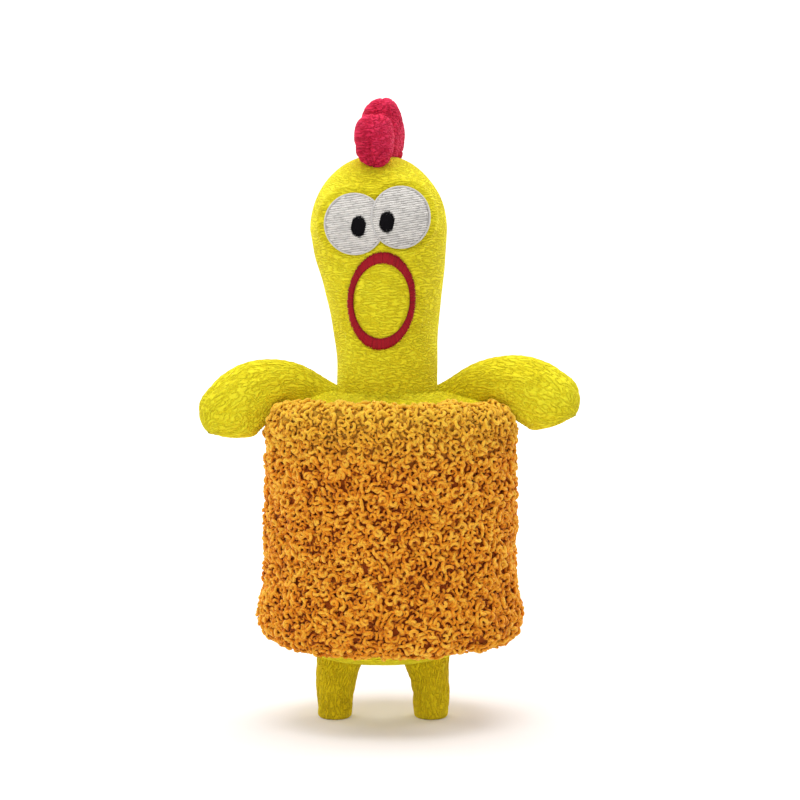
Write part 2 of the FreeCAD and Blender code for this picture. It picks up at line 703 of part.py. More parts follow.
fill_sheet()
FRONT_HALF = block("front_half", (-FAR, -FAR, -FAR), (2 * FAR, FAR, 2 * FAR))
BACK_HALF = block("back_half", (-FAR, 0, -FAR), (2 * FAR, FAR, 2 * FAR))
leg_hollows = [leg_ball(f"{side}_leg_hollow", side, "gap") for side in ("left", "right")]
torso([neck_hollow(), *leg_hollows, wing_hollow("left"), wing_hollow("right")])
squeaker()
neck()
head()
comb()
for toy_side in ("left", "right"):
    wing(toy_side)
    leg(toy_side)
check_and_write()
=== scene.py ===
"""A stuffed toy chicken in yellow short-pile plush with a body of curly golden fleece, drawn
around its frame.

The toy faces -Y and its soles stand on Z = 0.  Lengths are in metres, "left" and "right" are the toy's own.
"""
import json
import math

import bmesh
import bpy
import numpy as np
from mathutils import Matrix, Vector, noise

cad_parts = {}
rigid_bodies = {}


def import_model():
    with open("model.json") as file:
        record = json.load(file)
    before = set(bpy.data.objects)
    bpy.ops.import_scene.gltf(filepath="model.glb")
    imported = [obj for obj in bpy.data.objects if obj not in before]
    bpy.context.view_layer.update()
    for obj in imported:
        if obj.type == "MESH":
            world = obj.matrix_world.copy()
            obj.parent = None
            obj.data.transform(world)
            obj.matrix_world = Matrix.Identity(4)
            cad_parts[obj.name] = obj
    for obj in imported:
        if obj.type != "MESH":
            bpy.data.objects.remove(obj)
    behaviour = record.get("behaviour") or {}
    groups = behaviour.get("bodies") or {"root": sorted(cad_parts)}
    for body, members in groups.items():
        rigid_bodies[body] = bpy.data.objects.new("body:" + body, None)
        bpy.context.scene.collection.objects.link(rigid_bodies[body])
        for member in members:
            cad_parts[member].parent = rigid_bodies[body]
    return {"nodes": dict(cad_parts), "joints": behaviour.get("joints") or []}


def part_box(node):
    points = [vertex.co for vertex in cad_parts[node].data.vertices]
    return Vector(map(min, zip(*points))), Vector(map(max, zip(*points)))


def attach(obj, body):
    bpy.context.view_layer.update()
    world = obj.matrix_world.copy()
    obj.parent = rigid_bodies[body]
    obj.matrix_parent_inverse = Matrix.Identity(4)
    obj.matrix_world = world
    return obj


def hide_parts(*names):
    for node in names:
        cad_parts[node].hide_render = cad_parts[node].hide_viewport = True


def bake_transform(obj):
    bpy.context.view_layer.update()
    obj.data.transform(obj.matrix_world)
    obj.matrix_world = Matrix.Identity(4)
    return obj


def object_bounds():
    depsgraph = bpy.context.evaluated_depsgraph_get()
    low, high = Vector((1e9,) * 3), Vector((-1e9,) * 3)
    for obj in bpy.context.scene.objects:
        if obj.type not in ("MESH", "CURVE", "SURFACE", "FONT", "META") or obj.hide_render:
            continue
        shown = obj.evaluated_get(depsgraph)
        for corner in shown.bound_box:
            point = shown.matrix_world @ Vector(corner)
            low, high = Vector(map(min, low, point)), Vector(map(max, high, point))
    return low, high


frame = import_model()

CAD_BOX = [list(corner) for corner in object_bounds()]

MM = 0.001


# ------------------------------------------------------------------ head and neck
# Two panels of short-pile plush sewn together at the sides and filled with fibre: one tube from the
# shoulders to the crown.  The face is stiff where it is embroidered, so the cloth swells around it.

class Value:
    """A socket that takes part in arithmetic; each operation adds a Math node."""

    def __init__(self, net, socket):
        self.net, self.socket = net, socket

    def math(self, operation, *values):
        return self.net.node("ShaderNodeMath", {"operation": operation}, dict(enumerate(values)))

    def __add__(self, other):
        return self.math("ADD", self, other)

    def __sub__(self, other):
        return self.math("SUBTRACT", self, other)

    def __rsub__(self, other):
        return self.math("SUBTRACT", other, self)

    def __mul__(self, other):
        return self.math("MULTIPLY", self, other)

    def __truediv__(self, other):
        return self.math("DIVIDE", self, other)

    def __rtruediv__(self, other):
        return self.math("DIVIDE", other, self)

    __radd__, __rmul__ = __add__, __mul__


class Net:
    """A node tree. node() adds any node from its type, its settings and its sockets' values or links."""

    def __init__(self, tree):
        self.tree = tree

    def give(self, node, sockets):
        names = {item.name.lower(): item for item in reversed(node.inputs)}
        for key, value in sockets.items():
            socket = node.inputs[key] if isinstance(key, int) else names[key.lower().replace("_", " ")]
            if isinstance(value, Value):
                self.tree.links.new(value.socket, socket)
            else:
                socket.default_value = value

    def node(self, kind, settings=None, sockets=None, output=0):
        made = self.tree.nodes.new(kind)
        for key, value in (settings or {}).items():
            if key == "stops":
                ramp = made.color_ramp.elements
                while len(ramp) < len(value):
                    ramp.new(0.5)
                for stop, (place, colour) in zip(ramp, value):
                    stop.position, stop.color = place, (*colour, 1)
            else:
                setattr(made, key, value)
        self.give(made, sockets or {})
        return Value(self, made.outputs[output])


class Finish(Net):
    """A material. What is even all over is set on its shader at once; wear() links what varies."""

    def __init__(self, name, **shader):
        self.material = bpy.data.materials.new(name)
        self.material.use_nodes = True
        super().__init__(self.material.node_tree)
        self.shader = self.tree.nodes["Principled BSDF"]
        self.give(self.shader, shader)

    def place(self, space="Object", stretch=(1, 1, 1), turn=0.0):
        """Object coordinates or the piece's own UV map, stretched and turned."""
        where = self.node("ShaderNodeTexCoord", output=space)
        return self.node("ShaderNodeMapping",
                         sockets={"Vector": where, "Scale": stretch, "Rotation": (0, 0, turn)})

    def grain(self, where, scale, detail=3.0, rough=0.55):
        sockets = {"Vector": where, "Scale": scale, "Detail": detail, "Roughness": rough}
        return self.node("ShaderNodeTexNoise", sockets=sockets)

    def held(self, name):
        """A number kept on the mesh."""
        return self.node("ShaderNodeAttribute", {"attribute_name": name}, output=2)

    def ramp(self, amount, *stops):
        return self.node("ShaderNodeValToRGB", {"stops": stops}, {0: amount})

    def blend(self, share, first, second, how="MIX"):
        return self.node("ShaderNodeMix", {"data_type": "RGBA", "blend_type": how},
                         {0: share, 6: first, 7: second}, output=2)

    def bump(self, height, distance, strength=1.0, under=None):
        sockets = {"Height": height, "Distance": distance, "Strength": strength}
        if under:
            sockets["Normal"] = under
        return self.node("ShaderNodeBump", sockets=sockets)

    def wear(self, **sockets):
        self.give(self.shader, sockets)
        return self.material


def plush(name, light, middle, deep, sheen):
    """Short pile brushed one way: fine wavy crinkles that run along U, with painted shade darkening their
    narrow valleys, softer patches where the nap has turned, and a bright edge."""
    cloth = Finish(name, roughness=0.85, sheen_weight=sheen, sheen_roughness=0.4, sheen_tint=(*light, 1),
                   specular_ior_level=0.15, subsurface_weight=0.08, subsurface_radius=(1.0, 0.6, 0.2),
                   subsurface_scale=0.002)
    along = cloth.place("UV", stretch=(0.38, 1.0, 1.0), turn=0.12)
    crinkle = cloth.grain(along, 620, detail=2, rough=0.45) - 0.5
    crinkle = crinkle * crinkle
    crinkle = crinkle / (crinkle + 0.003)
    pile = cloth.grain(cloth.place("UV", stretch=(0.6, 1.0, 1.0)), 1900, detail=2)
    patches = cloth.grain(cloth.place(), 42, detail=2)
    # The crinkle term darkens the crinkles' thin valleys: painted shade in the creases. Pile and patches are
    # the plush's own uneven tone.
    nap = crinkle * 0.13 + pile * 0.3 + patches * 0.35
    colour = cloth.ramp(nap, (0.22, deep), (0.37, middle), (0.52, light))
    rise = cloth.bump(pile, 0.0003, 0.5, cloth.bump(crinkle, 0.0008, 0.9))
    return cloth.wear(base_color=colour, normal=rise)


YELLOW_PLUSH = plush("yellow_plush", (0.93, 0.85, 0.03), (0.84, 0.71, 0.012), (0.60, 0.46, 0.004), 0.25)
# The legs are of the same yellow plush; this darker, duller copy of it is painted shade under the body.
LEG_PLUSH_PAINTED_SHADE = plush("olive_plush", (0.86, 0.68, 0.010), (0.74, 0.55, 0.005), (0.50, 0.35, 0.002), 0.12)


def flow(knots, values, at):
    """A smooth curve through a row of values at each knot, read at the given places."""
    knots, at = np.asarray(knots, float), np.asarray(at, float)
    values = np.asarray(values, float).reshape(len(knots), -1)
    slope = np.gradient(values, knots, axis=0)
    span = np.clip(np.searchsorted(knots, at) - 1, 0, len(knots) - 2)
    wide = (knots[span + 1] - knots[span])[:, None]
    t = (at - knots[span])[:, None] / wide
    start, end = values[span], values[span + 1]
    ease = t * t * (3 - 2 * t)
    return (start * (1 - ease) + end * ease + wide * (t * (1 - t) ** 2) * slope[span]
            - wide * (t * t * (1 - t)) * slope[span + 1])


def smooth_step(low, high, value):
    t = np.clip((value - low) / (high - low), 0, 1)
    return t * t * (3 - 2 * t)


def finer(grid, along, around, closed_along=False):
    """A grid of points made finer along its first and second directions; the second always closes."""
    def split(points, times, closed):
        count = len(points)
        at = np.arange(0, count if closed else count - 1 + 1e-9, 1 / times)
        base = np.minimum(at.astype(int), count - 1)
        t = (at - base)[:, None, None]
        pick = (lambda step: points[(base + step) % count]) if closed else (
            lambda step: points[np.clip(base + step, 0, count - 1)])
        before, start, end, after = pick(-1), pick(0), pick(1), pick(2)
        return 0.5 * (2 * start + (end - before) * t + (2 * before - 5 * start + 4 * end - after) * t ** 2
                      + (3 * start - before - 3 * end + after) * t ** 3)
    grid = split(grid, along, closed_along)
    return split(grid.transpose(1, 0, 2), around, True).transpose(1, 0, 2)


def outward(grid, closed_along=False):
    """Unit normals of a grid whose second direction closes, on the side that turns away from its inside."""
    around = np.roll(grid, -1, 1) - np.roll(grid, 1, 1)
    if closed_along:
        along = np.roll(grid, -1, 0) - np.roll(grid, 1, 0)
    else:
        along = np.gradient(grid, axis=0)
    cross = np.cross(around, along)
    size = np.linalg.norm(cross, axis=2, keepdims=True)
    return cross / np.maximum(size, 1e-12)


def skin(name, grid, poles=(), closed_along=False, material=None, nap_along=False):
    """A mesh from a grid of points, closed around, with a UV map in metres.  Poles are points that close its
    first and last ring.  The nap runs around it, or along it."""
    rows, columns = grid.shape[:2]
    verts = [tuple(point) for point in grid.reshape(-1, 3)]
    faces, corners = [], []
    lengths = np.linalg.norm(np.diff(grid, axis=0), axis=2).mean(1)
    far = np.concatenate([[0], np.cumsum(lengths)])
    girth = np.linalg.norm(np.roll(grid, -1, 1) - grid, axis=2).sum(1).mean()
    for row in range(rows if closed_along else rows - 1):
        above = (row + 1) % rows
        v_low, v_high = far[row], far[row + 1] if row + 1 < rows else far[row] + lengths[-1]
        for column in range(columns):
            beside = (column + 1) % columns
            faces.append((row * columns + column, row * columns + beside, above * columns + beside,
                          above * columns + column))
            u_low, u_high = girth * column / columns, girth * (column + 1) / columns
            corners += [(u_low, v_low), (u_high, v_low), (u_high, v_high), (u_low, v_high)]
    for row, pole in poles:
        verts.append(tuple(pole))
        for column in range(columns):
            ring = [row * columns + column, row * columns + (column + 1) % columns]
            faces.append((*(ring if row else reversed(ring)), len(verts) - 1))
            middle = girth * (column + 0.5) / columns
            rim = [(girth * column / columns, far[row]), (girth * (column + 1) / columns, far[row])]
            corners += [*(rim if row else reversed(rim)), (middle, far[row] + (0.002 if row else -0.002))]
    mesh = bpy.data.meshes.new(name)
    mesh.from_pydata(verts, [], faces)
    corners = np.array(corners, float)
    if nap_along:
        corners = corners[:, ::-1]
    mesh.uv_layers.new(name="cloth").data.foreach_set("uv", corners.ravel())
    mesh.polygons.foreach_set("use_smooth", [True] * len(faces))
    if material:
        mesh.materials.append(material)
    piece = bpy.data.objects.new(name, mesh)
    bpy.context.collection.objects.link(piece)
    return piece


def stuffed(grid, poles, held, cap, pressure=4.0, closed_along=False):
    """The grid after its filling has blown it up, with the held points kept and no point moved past cap."""
    size = 10.0  # cloth on a toy this small is worked out at ten times its size
    large_poles = [(row, Vector(pole) * size) for row, pole in poles]
    piece = skin("being_stuffed", grid * size, large_poles, closed_along)
    group = piece.vertex_groups.new(name="held")
    group.add([int(index) for index in np.flatnonzero(held.ravel())], 1.0, "REPLACE")
    cloth = piece.modifiers.new("filling", "CLOTH")
    cloth.settings.vertex_group_mass = "held"
    cloth.settings.use_pressure = True
    cloth.settings.uniform_pressure_force = pressure
    cloth.settings.tension_stiffness = cloth.settings.compression_stiffness = 12
    cloth.settings.shear_stiffness = 4
    cloth.settings.bending_stiffness = 0.2
    cloth.settings.effector_weights.gravity = 0
    cloth.point_cache.frame_start, cloth.point_cache.frame_end = 1, 20
    scene = bpy.context.scene
    for number in range(1, 21):
        scene.frame_set(number)
    solved = piece.evaluated_get(bpy.context.evaluated_depsgraph_get())
    places = np.empty(len(solved.data.vertices) * 3)
    solved.data.vertices.foreach_get("co", places)
    places = places.reshape(-1, 3) / size
    scene.frame_set(1)
    bpy.data.objects.remove(piece)
    before = grid.reshape(-1, 3)
    if poles:
        before = np.concatenate([before, [list(pole) for _, pole in poles]])
    move = places - before
    far = np.linalg.norm(move, axis=1, keepdims=True)
    places = before + move * np.minimum(1, cap / np.maximum(far, 1e-9))
    count = grid.shape[0] * grid.shape[1]
    moved_poles = [(row, Vector(place)) for (row, _), place in zip(poles, places[count:])]
    return places[:count].reshape(grid.shape), moved_poles


def rings(centres, headings, half_widths, half_depths, columns, pinch=1.0):
    """A grid around a spine in the XZ plane, whose headings are angles above +X.

    A pinch under 1 rounds the depth.
    """
    turn = np.linspace(0, 2 * math.pi, columns, endpoint=False)
    across = np.stack([np.sin(headings), np.zeros_like(headings), -np.cos(headings)], 1)
    wide = half_widths[:, None] * np.cos(turn)[None]
    deep = half_depths[:, None] * (np.sign(np.sin(turn)) * np.abs(np.sin(turn)) ** pinch)[None]
    grid = centres[:, None, :] + wide[..., None] * across[:, None, :] + deep[..., None] * np.array((0, 1, 0))
    return grid


def ripple(points, pitch, seed):
    """Smooth noise from -1 to 1 at each point, with hills about a pitch apart."""
    flat = np.asarray(points).reshape(-1, 3) / pitch + seed * 17.3
    return np.array([noise.noise(point) for point in flat.tolist()]).reshape(points.shape[:-1])


def fit(piece, slot, *nodes, body=None, bend=None, fill=None):
    """Hides the nodes a piece stands for and makes it follow one body; with a bend its transform is only baked
    in. The slot is not used.
    """
    if nodes:
        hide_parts(*nodes)
    if body:
        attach(piece, body)
    if bend:
        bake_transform(piece)


def from_box(node):
    low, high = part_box(node)
    return (low + high) / 2, (high - low) / 2


def head_and_neck():
    face_middle, face_half = from_box("face_panel")
    neck_middle = from_box("neck_front_panel")[0]
    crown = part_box("face_panel")[1].z
    foot = 0.153
    cheek = crown - 0.0388
    neck_half_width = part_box("neck_filling")[1].x - neck_middle.x + 1.6 * MM
    stations = [  # share of the way from the foot to the cheeks, share of the lean, share of the swelling
        (0.0, 0.0, 0.0), (0.2, 0.0, 0.0), (0.33, 0.0, 0.0), (0.51, 0.2, 0.13), (0.72, 0.5, 0.52),
        (0.86, 0.8, 0.82), (1.0, 1.0, 1.0),
    ]
    swell = 0.7 * MM
    lean = face_middle.x - neck_middle.x
    grow = face_half.x - swell - neck_half_width
    shares = np.linspace(0, 1, 46)
    shape = flow([row[0] for row in stations], [row[1:] for row in stations], shares)
    dome = np.radians(np.linspace(0, 86, 24)[1:])
    heights = np.concatenate([foot + shares * (cheek - foot), cheek + (crown - swell - cheek) * np.sin(dome)])
    sides = np.concatenate([neck_middle.x + lean * shape[:, 0], np.full(len(dome), face_middle.x)])
    halves = np.concatenate([neck_half_width + grow * shape[:, 1], (face_half.x - swell) * np.cos(dome)])
    centres = np.stack([sides, np.zeros_like(sides), heights], 1)
    up = np.full(len(sides), math.pi / 2)
    grid = rings(centres, up, halves, halves * 0.905, 72)
    foot_pole, crown_pole = Vector((neck_middle.x, 0, foot)), Vector((face_middle.x, 0, crown - swell))
    poles = [(0, foot_pole), (len(grid) - 1, crown_pole)]
    seam = np.zeros(grid.shape[:2], bool)
    seam[:, [0, 36]] = True
    seam[:3] = True
    grid, poles = stuffed(grid, poles, seam, 1.2 * MM)
    grid = finer(grid, 3, 4)
    return grid, poles


class Patch:
    """A stiff oval of embroidery on the face: its middle, half sizes and lean in the front view, and a smooth
    sheet fitted to the plush there."""

    def __init__(self, places, middle, half, lean=0.0):
        self.x, self.z, self.wide, self.tall = *middle, *half
        self.lean = math.radians(lean)
        front = places[places[:, 1] < 0]
        u, v = self.share(front[:, 0], front[:, 2])
        near = front[u * u + v * v < 1.1]
        self.fitted = np.linalg.lstsq(self.terms(near[:, 0], near[:, 2]), near[:, 1], rcond=None)[0]

    def terms(self, x, z):
        x, z = (x - self.x) * 30, (z - self.z) * 30
        return np.stack([np.ones_like(x), x, z, x * x, x * z, z * z], -1)

    def depth(self, x, z):
        return self.terms(x, z) @ self.fitted

    def share(self, x, z):
        """How far out a place is, as shares of the half sizes."""
        c, s = math.cos(self.lean), math.sin(self.lean)
        x, z = x - self.x, z - self.z
        return (x * c - z * s) / self.wide, (x * s + z * c) / self.tall

    def at(self, u, v, above):
        """The point over a place on the sheet, and the sheet's normal there."""
        c, s = math.cos(self.lean), math.sin(self.lean)
        x = self.x + u * self.wide * c + v * self.tall * s
        z = self.z - u * self.wide * s + v * self.tall * c
        y, step = float(self.depth(x, z)), 1e-4
        normal = Vector(((self.depth(x + step, z) - y) / step, -1, (self.depth(x, z + step) - y) / step))
        normal.normalize()
        return Vector((x, y, z)) + normal * above, normal


def face_patches(places):
    """The eyes overlap a little and carry their pupils on their own sheets, and the mouth leans."""
    made = {}
    for side, eye_shift, eye_width, pupil_shift in (("left", 0.4, 0.912, 0.0), ("right", 3.9, 1.005, 1.3)):
        middle, half = from_box(f"{side}_eye")
        eye = Patch(places, (middle.x + eye_shift * MM, middle.z), (half.x * eye_width, half.z * 0.94))
        middle, half = from_box(f"{side}_pupil")
        pupil = Patch(places, (middle.x + pupil_shift * MM, middle.z), (half.x, half.z))
        pupil.depth = eye.depth
        made[f"{side}_eye"], made[f"{side}_pupil"] = eye, pupil
    middle, half = from_box("mouth_ring")
    made["mouth"] = Patch(places, (middle.x, middle.z), (half.x - 0.35 * MM, half.z - 0.5 * MM), lean=4)
    return made


def stiffened(grid, normals):
    """The grid laid flat under the stiff embroidery, with the plush swollen round it."""
    x, z = grid[..., 0], grid[..., 2]
    facing = smooth_step(0.1, 0.4, -normals[..., 1])
    laid, puff = np.zeros_like(x), np.zeros_like(x)
    for name, height in (("left_eye", 1.1), ("right_eye", 1.1), ("mouth", 0.5)):
        reach = np.hypot(*patches[name].share(x, z))
        lay = (1 - smooth_step(0.98, 1.12, reach)) * facing
        grid[..., 1] = grid[..., 1] * (1 - lay) + (patches[name].depth(x, z) + 0.25 * MM) * lay
        laid = np.maximum(laid, lay)
        puff = np.maximum(puff, height * np.exp(-((reach - 1.24) / 0.11) ** 2))
    inside = np.hypot(*patches["mouth"].share(x, z))
    puff = puff * (1 - laid) + 0.7 * np.exp(-(inside / 0.5) ** 2)
    return grid + (puff * facing * MM)[..., None] * normals


head_grid, head_poles = head_and_neck()
head_normals = outward(head_grid)
patches = face_patches(head_grid.reshape(-1, 3))
head_grid = stiffened(head_grid, head_normals)
head_grid = head_grid + (0.35 * MM * ripple(head_grid, 14 * MM, 1))[..., None] * head_normals
head_ends = [(0, head_poles[0][1]), (len(head_grid) - 1, head_poles[1][1])]
head_skin = skin("head_and_neck_skin", head_grid, head_ends,
                 material=YELLOW_PLUSH)
neck_hinge = Vector(next(joint for joint in frame["joints"] if joint["name"] == "head_tilt")["pos_m"])
fit(head_skin, "yellow_plush", "face_panel", "head_back_panel", "head_filling", "neck_front_panel",
    "neck_back_panel", "neck_filling", fill=0.8,
    bend=("neck", "head", neck_hinge - Vector((0, 0, 8 * MM)), neck_hinge + Vector((0, 0, 16 * MM))))


# ------------------------------------------------------------------ wings
# Each wing is two leaves of yellow plush sewn together round their edge, turned and filled: narrow where it
# leaves the shoulder, broad and blunt at its end, and curved down along the body.

def creases(places, seed, width=0.1):
    """Narrow valleys, 1 at their bottom and 0 away from them, that wander through the given places."""
    return np.exp(-(ripple(places, 1.0, seed) / width) ** 2)


def wing(side, lift, bend):
    sign = 1 if side == "left" else -1
    joint = next(item for item in frame["joints"] if item["name"] == f"{side}_wing_flap")
    lift, bend, length, root_reach = math.radians(lift), math.radians(bend), 52 * MM, 11 * MM
    travel = np.concatenate([np.linspace(-root_reach, 0, 5)[:-1], np.linspace(0, length, 22)])
    heading = lift - bend * np.maximum(travel, 0) / length
    radius = length / bend
    x = np.where(travel < 0, travel * math.cos(lift), radius * (math.sin(lift) - np.sin(heading)))
    z = np.where(travel < 0, travel * math.sin(lift), radius * (np.cos(heading) - math.cos(lift)))
    half = flow(np.array([-11, 0, 14, 32, 52]) * MM, np.array([15.5, 17.0, 23.5, 31.2, 30.6]) * MM / 2,
                travel)[:, 0]
    # the tip is round on its outer side and cut off slanting below
    dome = np.radians([14, 28, 42, 55, 67, 78, 86])
    inner = half * (1 + 0.25 * smooth_step(24 * MM, 52 * MM, travel))
    inner = np.concatenate([inner, inner[-1] * (1 - np.sin(dome) ** 1.5)])
    x = np.concatenate([x, x[-1] + 15 * MM * np.sin(dome) * math.cos(heading[-1])])
    z = np.concatenate([z, z[-1] + 15 * MM * np.sin(dome) * math.sin(heading[-1])])
    half = np.concatenate([half, half[-1] * np.cos(dome)])
    heading = np.concatenate([heading, np.full(len(dome), heading[-1])])
    travel = np.concatenate([travel, length + 15 * MM * np.sin(dome)])
    columns = 36
    centres = np.stack([x, np.zeros_like(x), z], 1)
    grid = rings(centres, heading, half, half * 0.78, columns)
    turn = np.linspace(0, 2 * math.pi, columns, endpoint=False)
    fuller = (inner - half)[:, None] * np.maximum(np.cos(turn), 0)
    grid = grid + fuller[..., None] * np.stack([np.sin(heading), 0 * heading, -np.cos(heading)], 1)[:, None]
    local = np.stack([half[:, None] * np.cos(turn), half[:, None] * np.sin(turn),
                      np.broadcast_to(travel[:, None], (len(travel), columns))], 2)
    tip = centres[-1] + np.array((math.cos(heading[-1]), 0, math.sin(heading[-1]))) * 0.6 * MM
    poles = [(0, Vector(centres[0])), (len(grid) - 1, Vector(tip))]
    seam = np.zeros(grid.shape[:2], bool)
    seam[:, [0, columns // 2]] = True
    seam[:3] = True
    grid, poles = stuffed(grid, poles, seam, 1.4 * MM)
    grid, local = finer(grid, 3, 4), finer(local, 3, 4)
    normals = outward(grid)
    along = smooth_step(5 * MM, 30 * MM, local[..., 2])
    edge = np.abs(local[..., 1]) / (np.abs(local[..., 1]).max(1, keepdims=True) + 1e-9)
    near_seam = 1 - smooth_step(0.02, 0.42, edge)
    pucker = np.cos(local[..., 2] / (3.6 * MM) * 2 * math.pi + 2.0 * ripple(local, 9 * MM, 3))
    fold = creases(local / (np.array([3.4, 3.4, 17]) * MM), 5, 0.13)
    broad_fold = creases(local / (np.array([8, 8, 34]) * MM), 9, 0.12)
    move = (0.1 * pucker * near_seam * smooth_step(-4 * MM, 4 * MM, local[..., 2])
            - 0.55 * np.exp(-(edge / 0.045) ** 2)
            - (0.42 * fold + 0.55 * broad_fold) * (0.25 + 0.75 * along) * (1 - 0.6 * near_seam)
            + 0.5 * ripple(local, 13 * MM, 2)) * MM
    grid = grid + move[..., None] * normals
    place = Vector(joint["pos_m"])
    grid = grid * np.array((sign, 1, 1)) + np.array(place)
    poles = [(row and len(grid) - 1, Vector((pole.x * sign, pole.y, pole.z)) + place) for row, pole in poles]
    if sign < 0:
        grid = grid[:, ::-1]
    piece = skin(f"{side}_wing_skin", grid, poles, material=YELLOW_PLUSH, nap_along=True)
    away = Vector((sign * math.cos(lift), 0, math.sin(lift)))
    fit(piece, "yellow_plush", f"{side}_wing_front_panel", f"{side}_wing_back_panel", f"{side}_wing_filling",
        bend=("torso", f"{side}_wing", place - away * 8 * MM, place + away * 9 * MM), fill=0.75)
    return grid


wing_grids = {"left": wing("left", 27, 61), "right": wing("right", 27, 76)}


# ------------------------------------------------------------------ legs, seat and yoke
# The legs are soft plush tubes, flared where they are sewn into the yellow seat under the body.  The yoke is
# the strip of yellow plush between the fleece and the neck, gathered round the neck seam.

def leg(side):
    sign = 1 if side == "left" else -1
    joint = next(item for item in frame["joints"] if item["name"] == f"{side}_leg_swing")
    place = Vector(joint["pos_m"])
    columns = 36
    heights = np.concatenate([[0, 0, 0.3, 1.2, 3], np.linspace(6, 40, 14)]) * MM
    halves = flow(np.array([-1, 3, 6, 14, 22, 29, 34, 40]) * MM,
                  np.array([8.9, 9.0, 9.3, 10.0, 10.9, 12.0, 12.2, 10.5]) * MM, heights)[:, 0]
    halves[:4] = np.array([4.0, 7.2, 8.1, 8.8]) * MM
    drift = flow(np.array([-1, 6, 14, 22, 29, 40]) * MM, np.array([0.6, 0.7, 0.4, -0.4, -1.8, -2.4]) * MM,
                 heights)
    centres = np.stack([place.x + sign * drift[:, 0], np.zeros_like(heights), heights], 1)
    depths = np.minimum(halves, 10.8 * MM)
    grid = rings(centres, np.full(len(heights), math.pi / 2), halves, depths, columns)
    held = np.zeros(grid.shape[:2], bool)
    held[:4] = held[-4:] = True
    poles = [(0, Vector(centres[0])), (len(grid) - 1, Vector(centres[-1]))]
    grid, poles = stuffed(grid, poles, held, 0.6 * MM)
    grid = finer(grid, 3, 4)
    normals = outward(grid)
    local = (grid - centres[0]) / (np.array([4.2, 4.2, 17]) * MM)
    fold = creases(local + sign, 11, 0.14) + 0.6 * creases(local * 1.9 + sign, 12, 0.14)
    lifted = smooth_step(1.5 * MM, 7 * MM, grid[..., 2])
    move = (-0.55 * fold * lifted + 0.5 * ripple(grid, 11 * MM, 4) * lifted) * MM
    grid = grid + move[..., None] * normals
    grid[..., 2] = np.maximum(grid[..., 2], 0)
    poles = [(row and len(grid) - 1, pole) for row, pole in poles]
    # The darker leg plush is painted shade under the body.
    piece = skin(f"{side}_leg_skin", grid, poles, material=LEG_PLUSH_PAINTED_SHADE, nap_along=True)
    fit(piece, "yellow_plush", f"{side}_leg_front_panel", f"{side}_leg_back_panel", f"{side}_leg_filling",
        bend=("torso", f"{side}_leg", place + Vector((0, 0, 6 * MM)),
              place - Vector((0, 0, 4 * MM))), fill=0.7)


leg("left")
leg("right")


def cushioned_ring(rows, columns, seed, lumps):
    """A grid of ellipses from rows of centre x, height, half width and half depth, softly uneven."""
    rows = np.array(rows, float) * MM
    at = np.arange(len(rows))
    x, z, half, deep = flow(at, rows, np.linspace(0, len(rows) - 1, 4 * len(rows))).T
    grid = rings(np.stack([x, np.zeros_like(x), z], 1), np.full(len(x), math.pi / 2), half, deep, columns)
    return grid + (lumps * ripple(grid, 8 * MM, seed))[..., None] * outward(grid)


def seat():
    low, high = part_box("seat_panel")
    half, deep = (high.x - low.x) / 2 * 1000, (high.y - low.y) / 2 * 1000
    middle = (low.x + high.x) / 2 * 1000
    bottom = low.z * 1000
    rows = [(middle, bottom - 0.4, 6, 5), (middle, bottom - 0.1, half * 0.42, deep * 0.42),
            (middle, bottom + 1.4, half * 0.74, deep * 0.74),
            (middle, bottom + 4.2, half * 0.93, deep * 0.93),
            (middle, bottom + 8.5, half, deep), (middle, bottom + 14, half * 0.96, deep * 0.96)]
    grid = cushioned_ring(rows, 96, 21, 0.5 * MM)
    ends = [(0, Vector((middle, 0, bottom - 0.4)) * MM),
            (len(grid) - 1, Vector((middle, 0, bottom + 14)) * MM)]
    piece = skin("seat_skin", grid, ends, material=YELLOW_PLUSH)
    fit(piece, "yellow_plush", "seat_panel", body="torso", fill=0.6)


seat()


def yoke():
    neck_low, neck_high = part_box("neck_front_panel")
    middle = (neck_low.x + neck_high.x) / 2 * 1000
    half = (neck_high.x - neck_low.x) / 2 * 1000
    seam = neck_hinge.z * 1000 - 12.6
    rows = [(0, seam - 16, 50, 30), (0, seam - 9.5, 53, 33), (0, seam - 6.5, 50.5, 32.5),
            (0, seam - 4.3, 45, 30.5),
            (middle * 0.7, seam - 1.9, 37, 27.5), (middle, seam - 0.2, half + 3.2, half * 0.9 + 2.8),
            (middle, seam - 0.4, half + 0.7, half * 0.9 + 0.7),
            (middle, seam - 3, half - 1.5, half * 0.9 - 1.5)]
    grid = cushioned_ring(rows, 192, 31, 0.35 * MM)
    turn = np.linspace(0, 2 * math.pi, grid.shape[1], endpoint=False)
    reach = np.linspace(0, 1, grid.shape[0])[:, None]
    gather = 0.3 * MM * np.cos(turn * 42 + 3 * np.sin(turn * 5))[None] * smooth_step(0.35, 0.8, reach)
    grid = grid + gather[..., None] * outward(grid)
    ends = [(0, Vector((0, 0, seam - 16)) * MM), (len(grid) - 1, Vector((middle, 0, seam - 3)) * MM)]
    piece = skin("yoke_skin", grid, ends, material=YELLOW_PLUSH)
    seam_point = Vector((middle, 0, seam)) * MM
    fit(piece, "yellow_plush", "shoulder_yoke",
        bend=("torso", "neck", seam_point - Vector((0, 0, 6.5 * MM)), seam_point + Vector((0, 0, 1.5 * MM))))


yoke()


# ------------------------------------------------------------------ fleece body
# The drum is a sleeve of golden fleece: a woven ground covered in short curls of thick wool yarn, shaped like
# a C, an S or a loop.  Its lower hem ends in a brush of straight fibres.

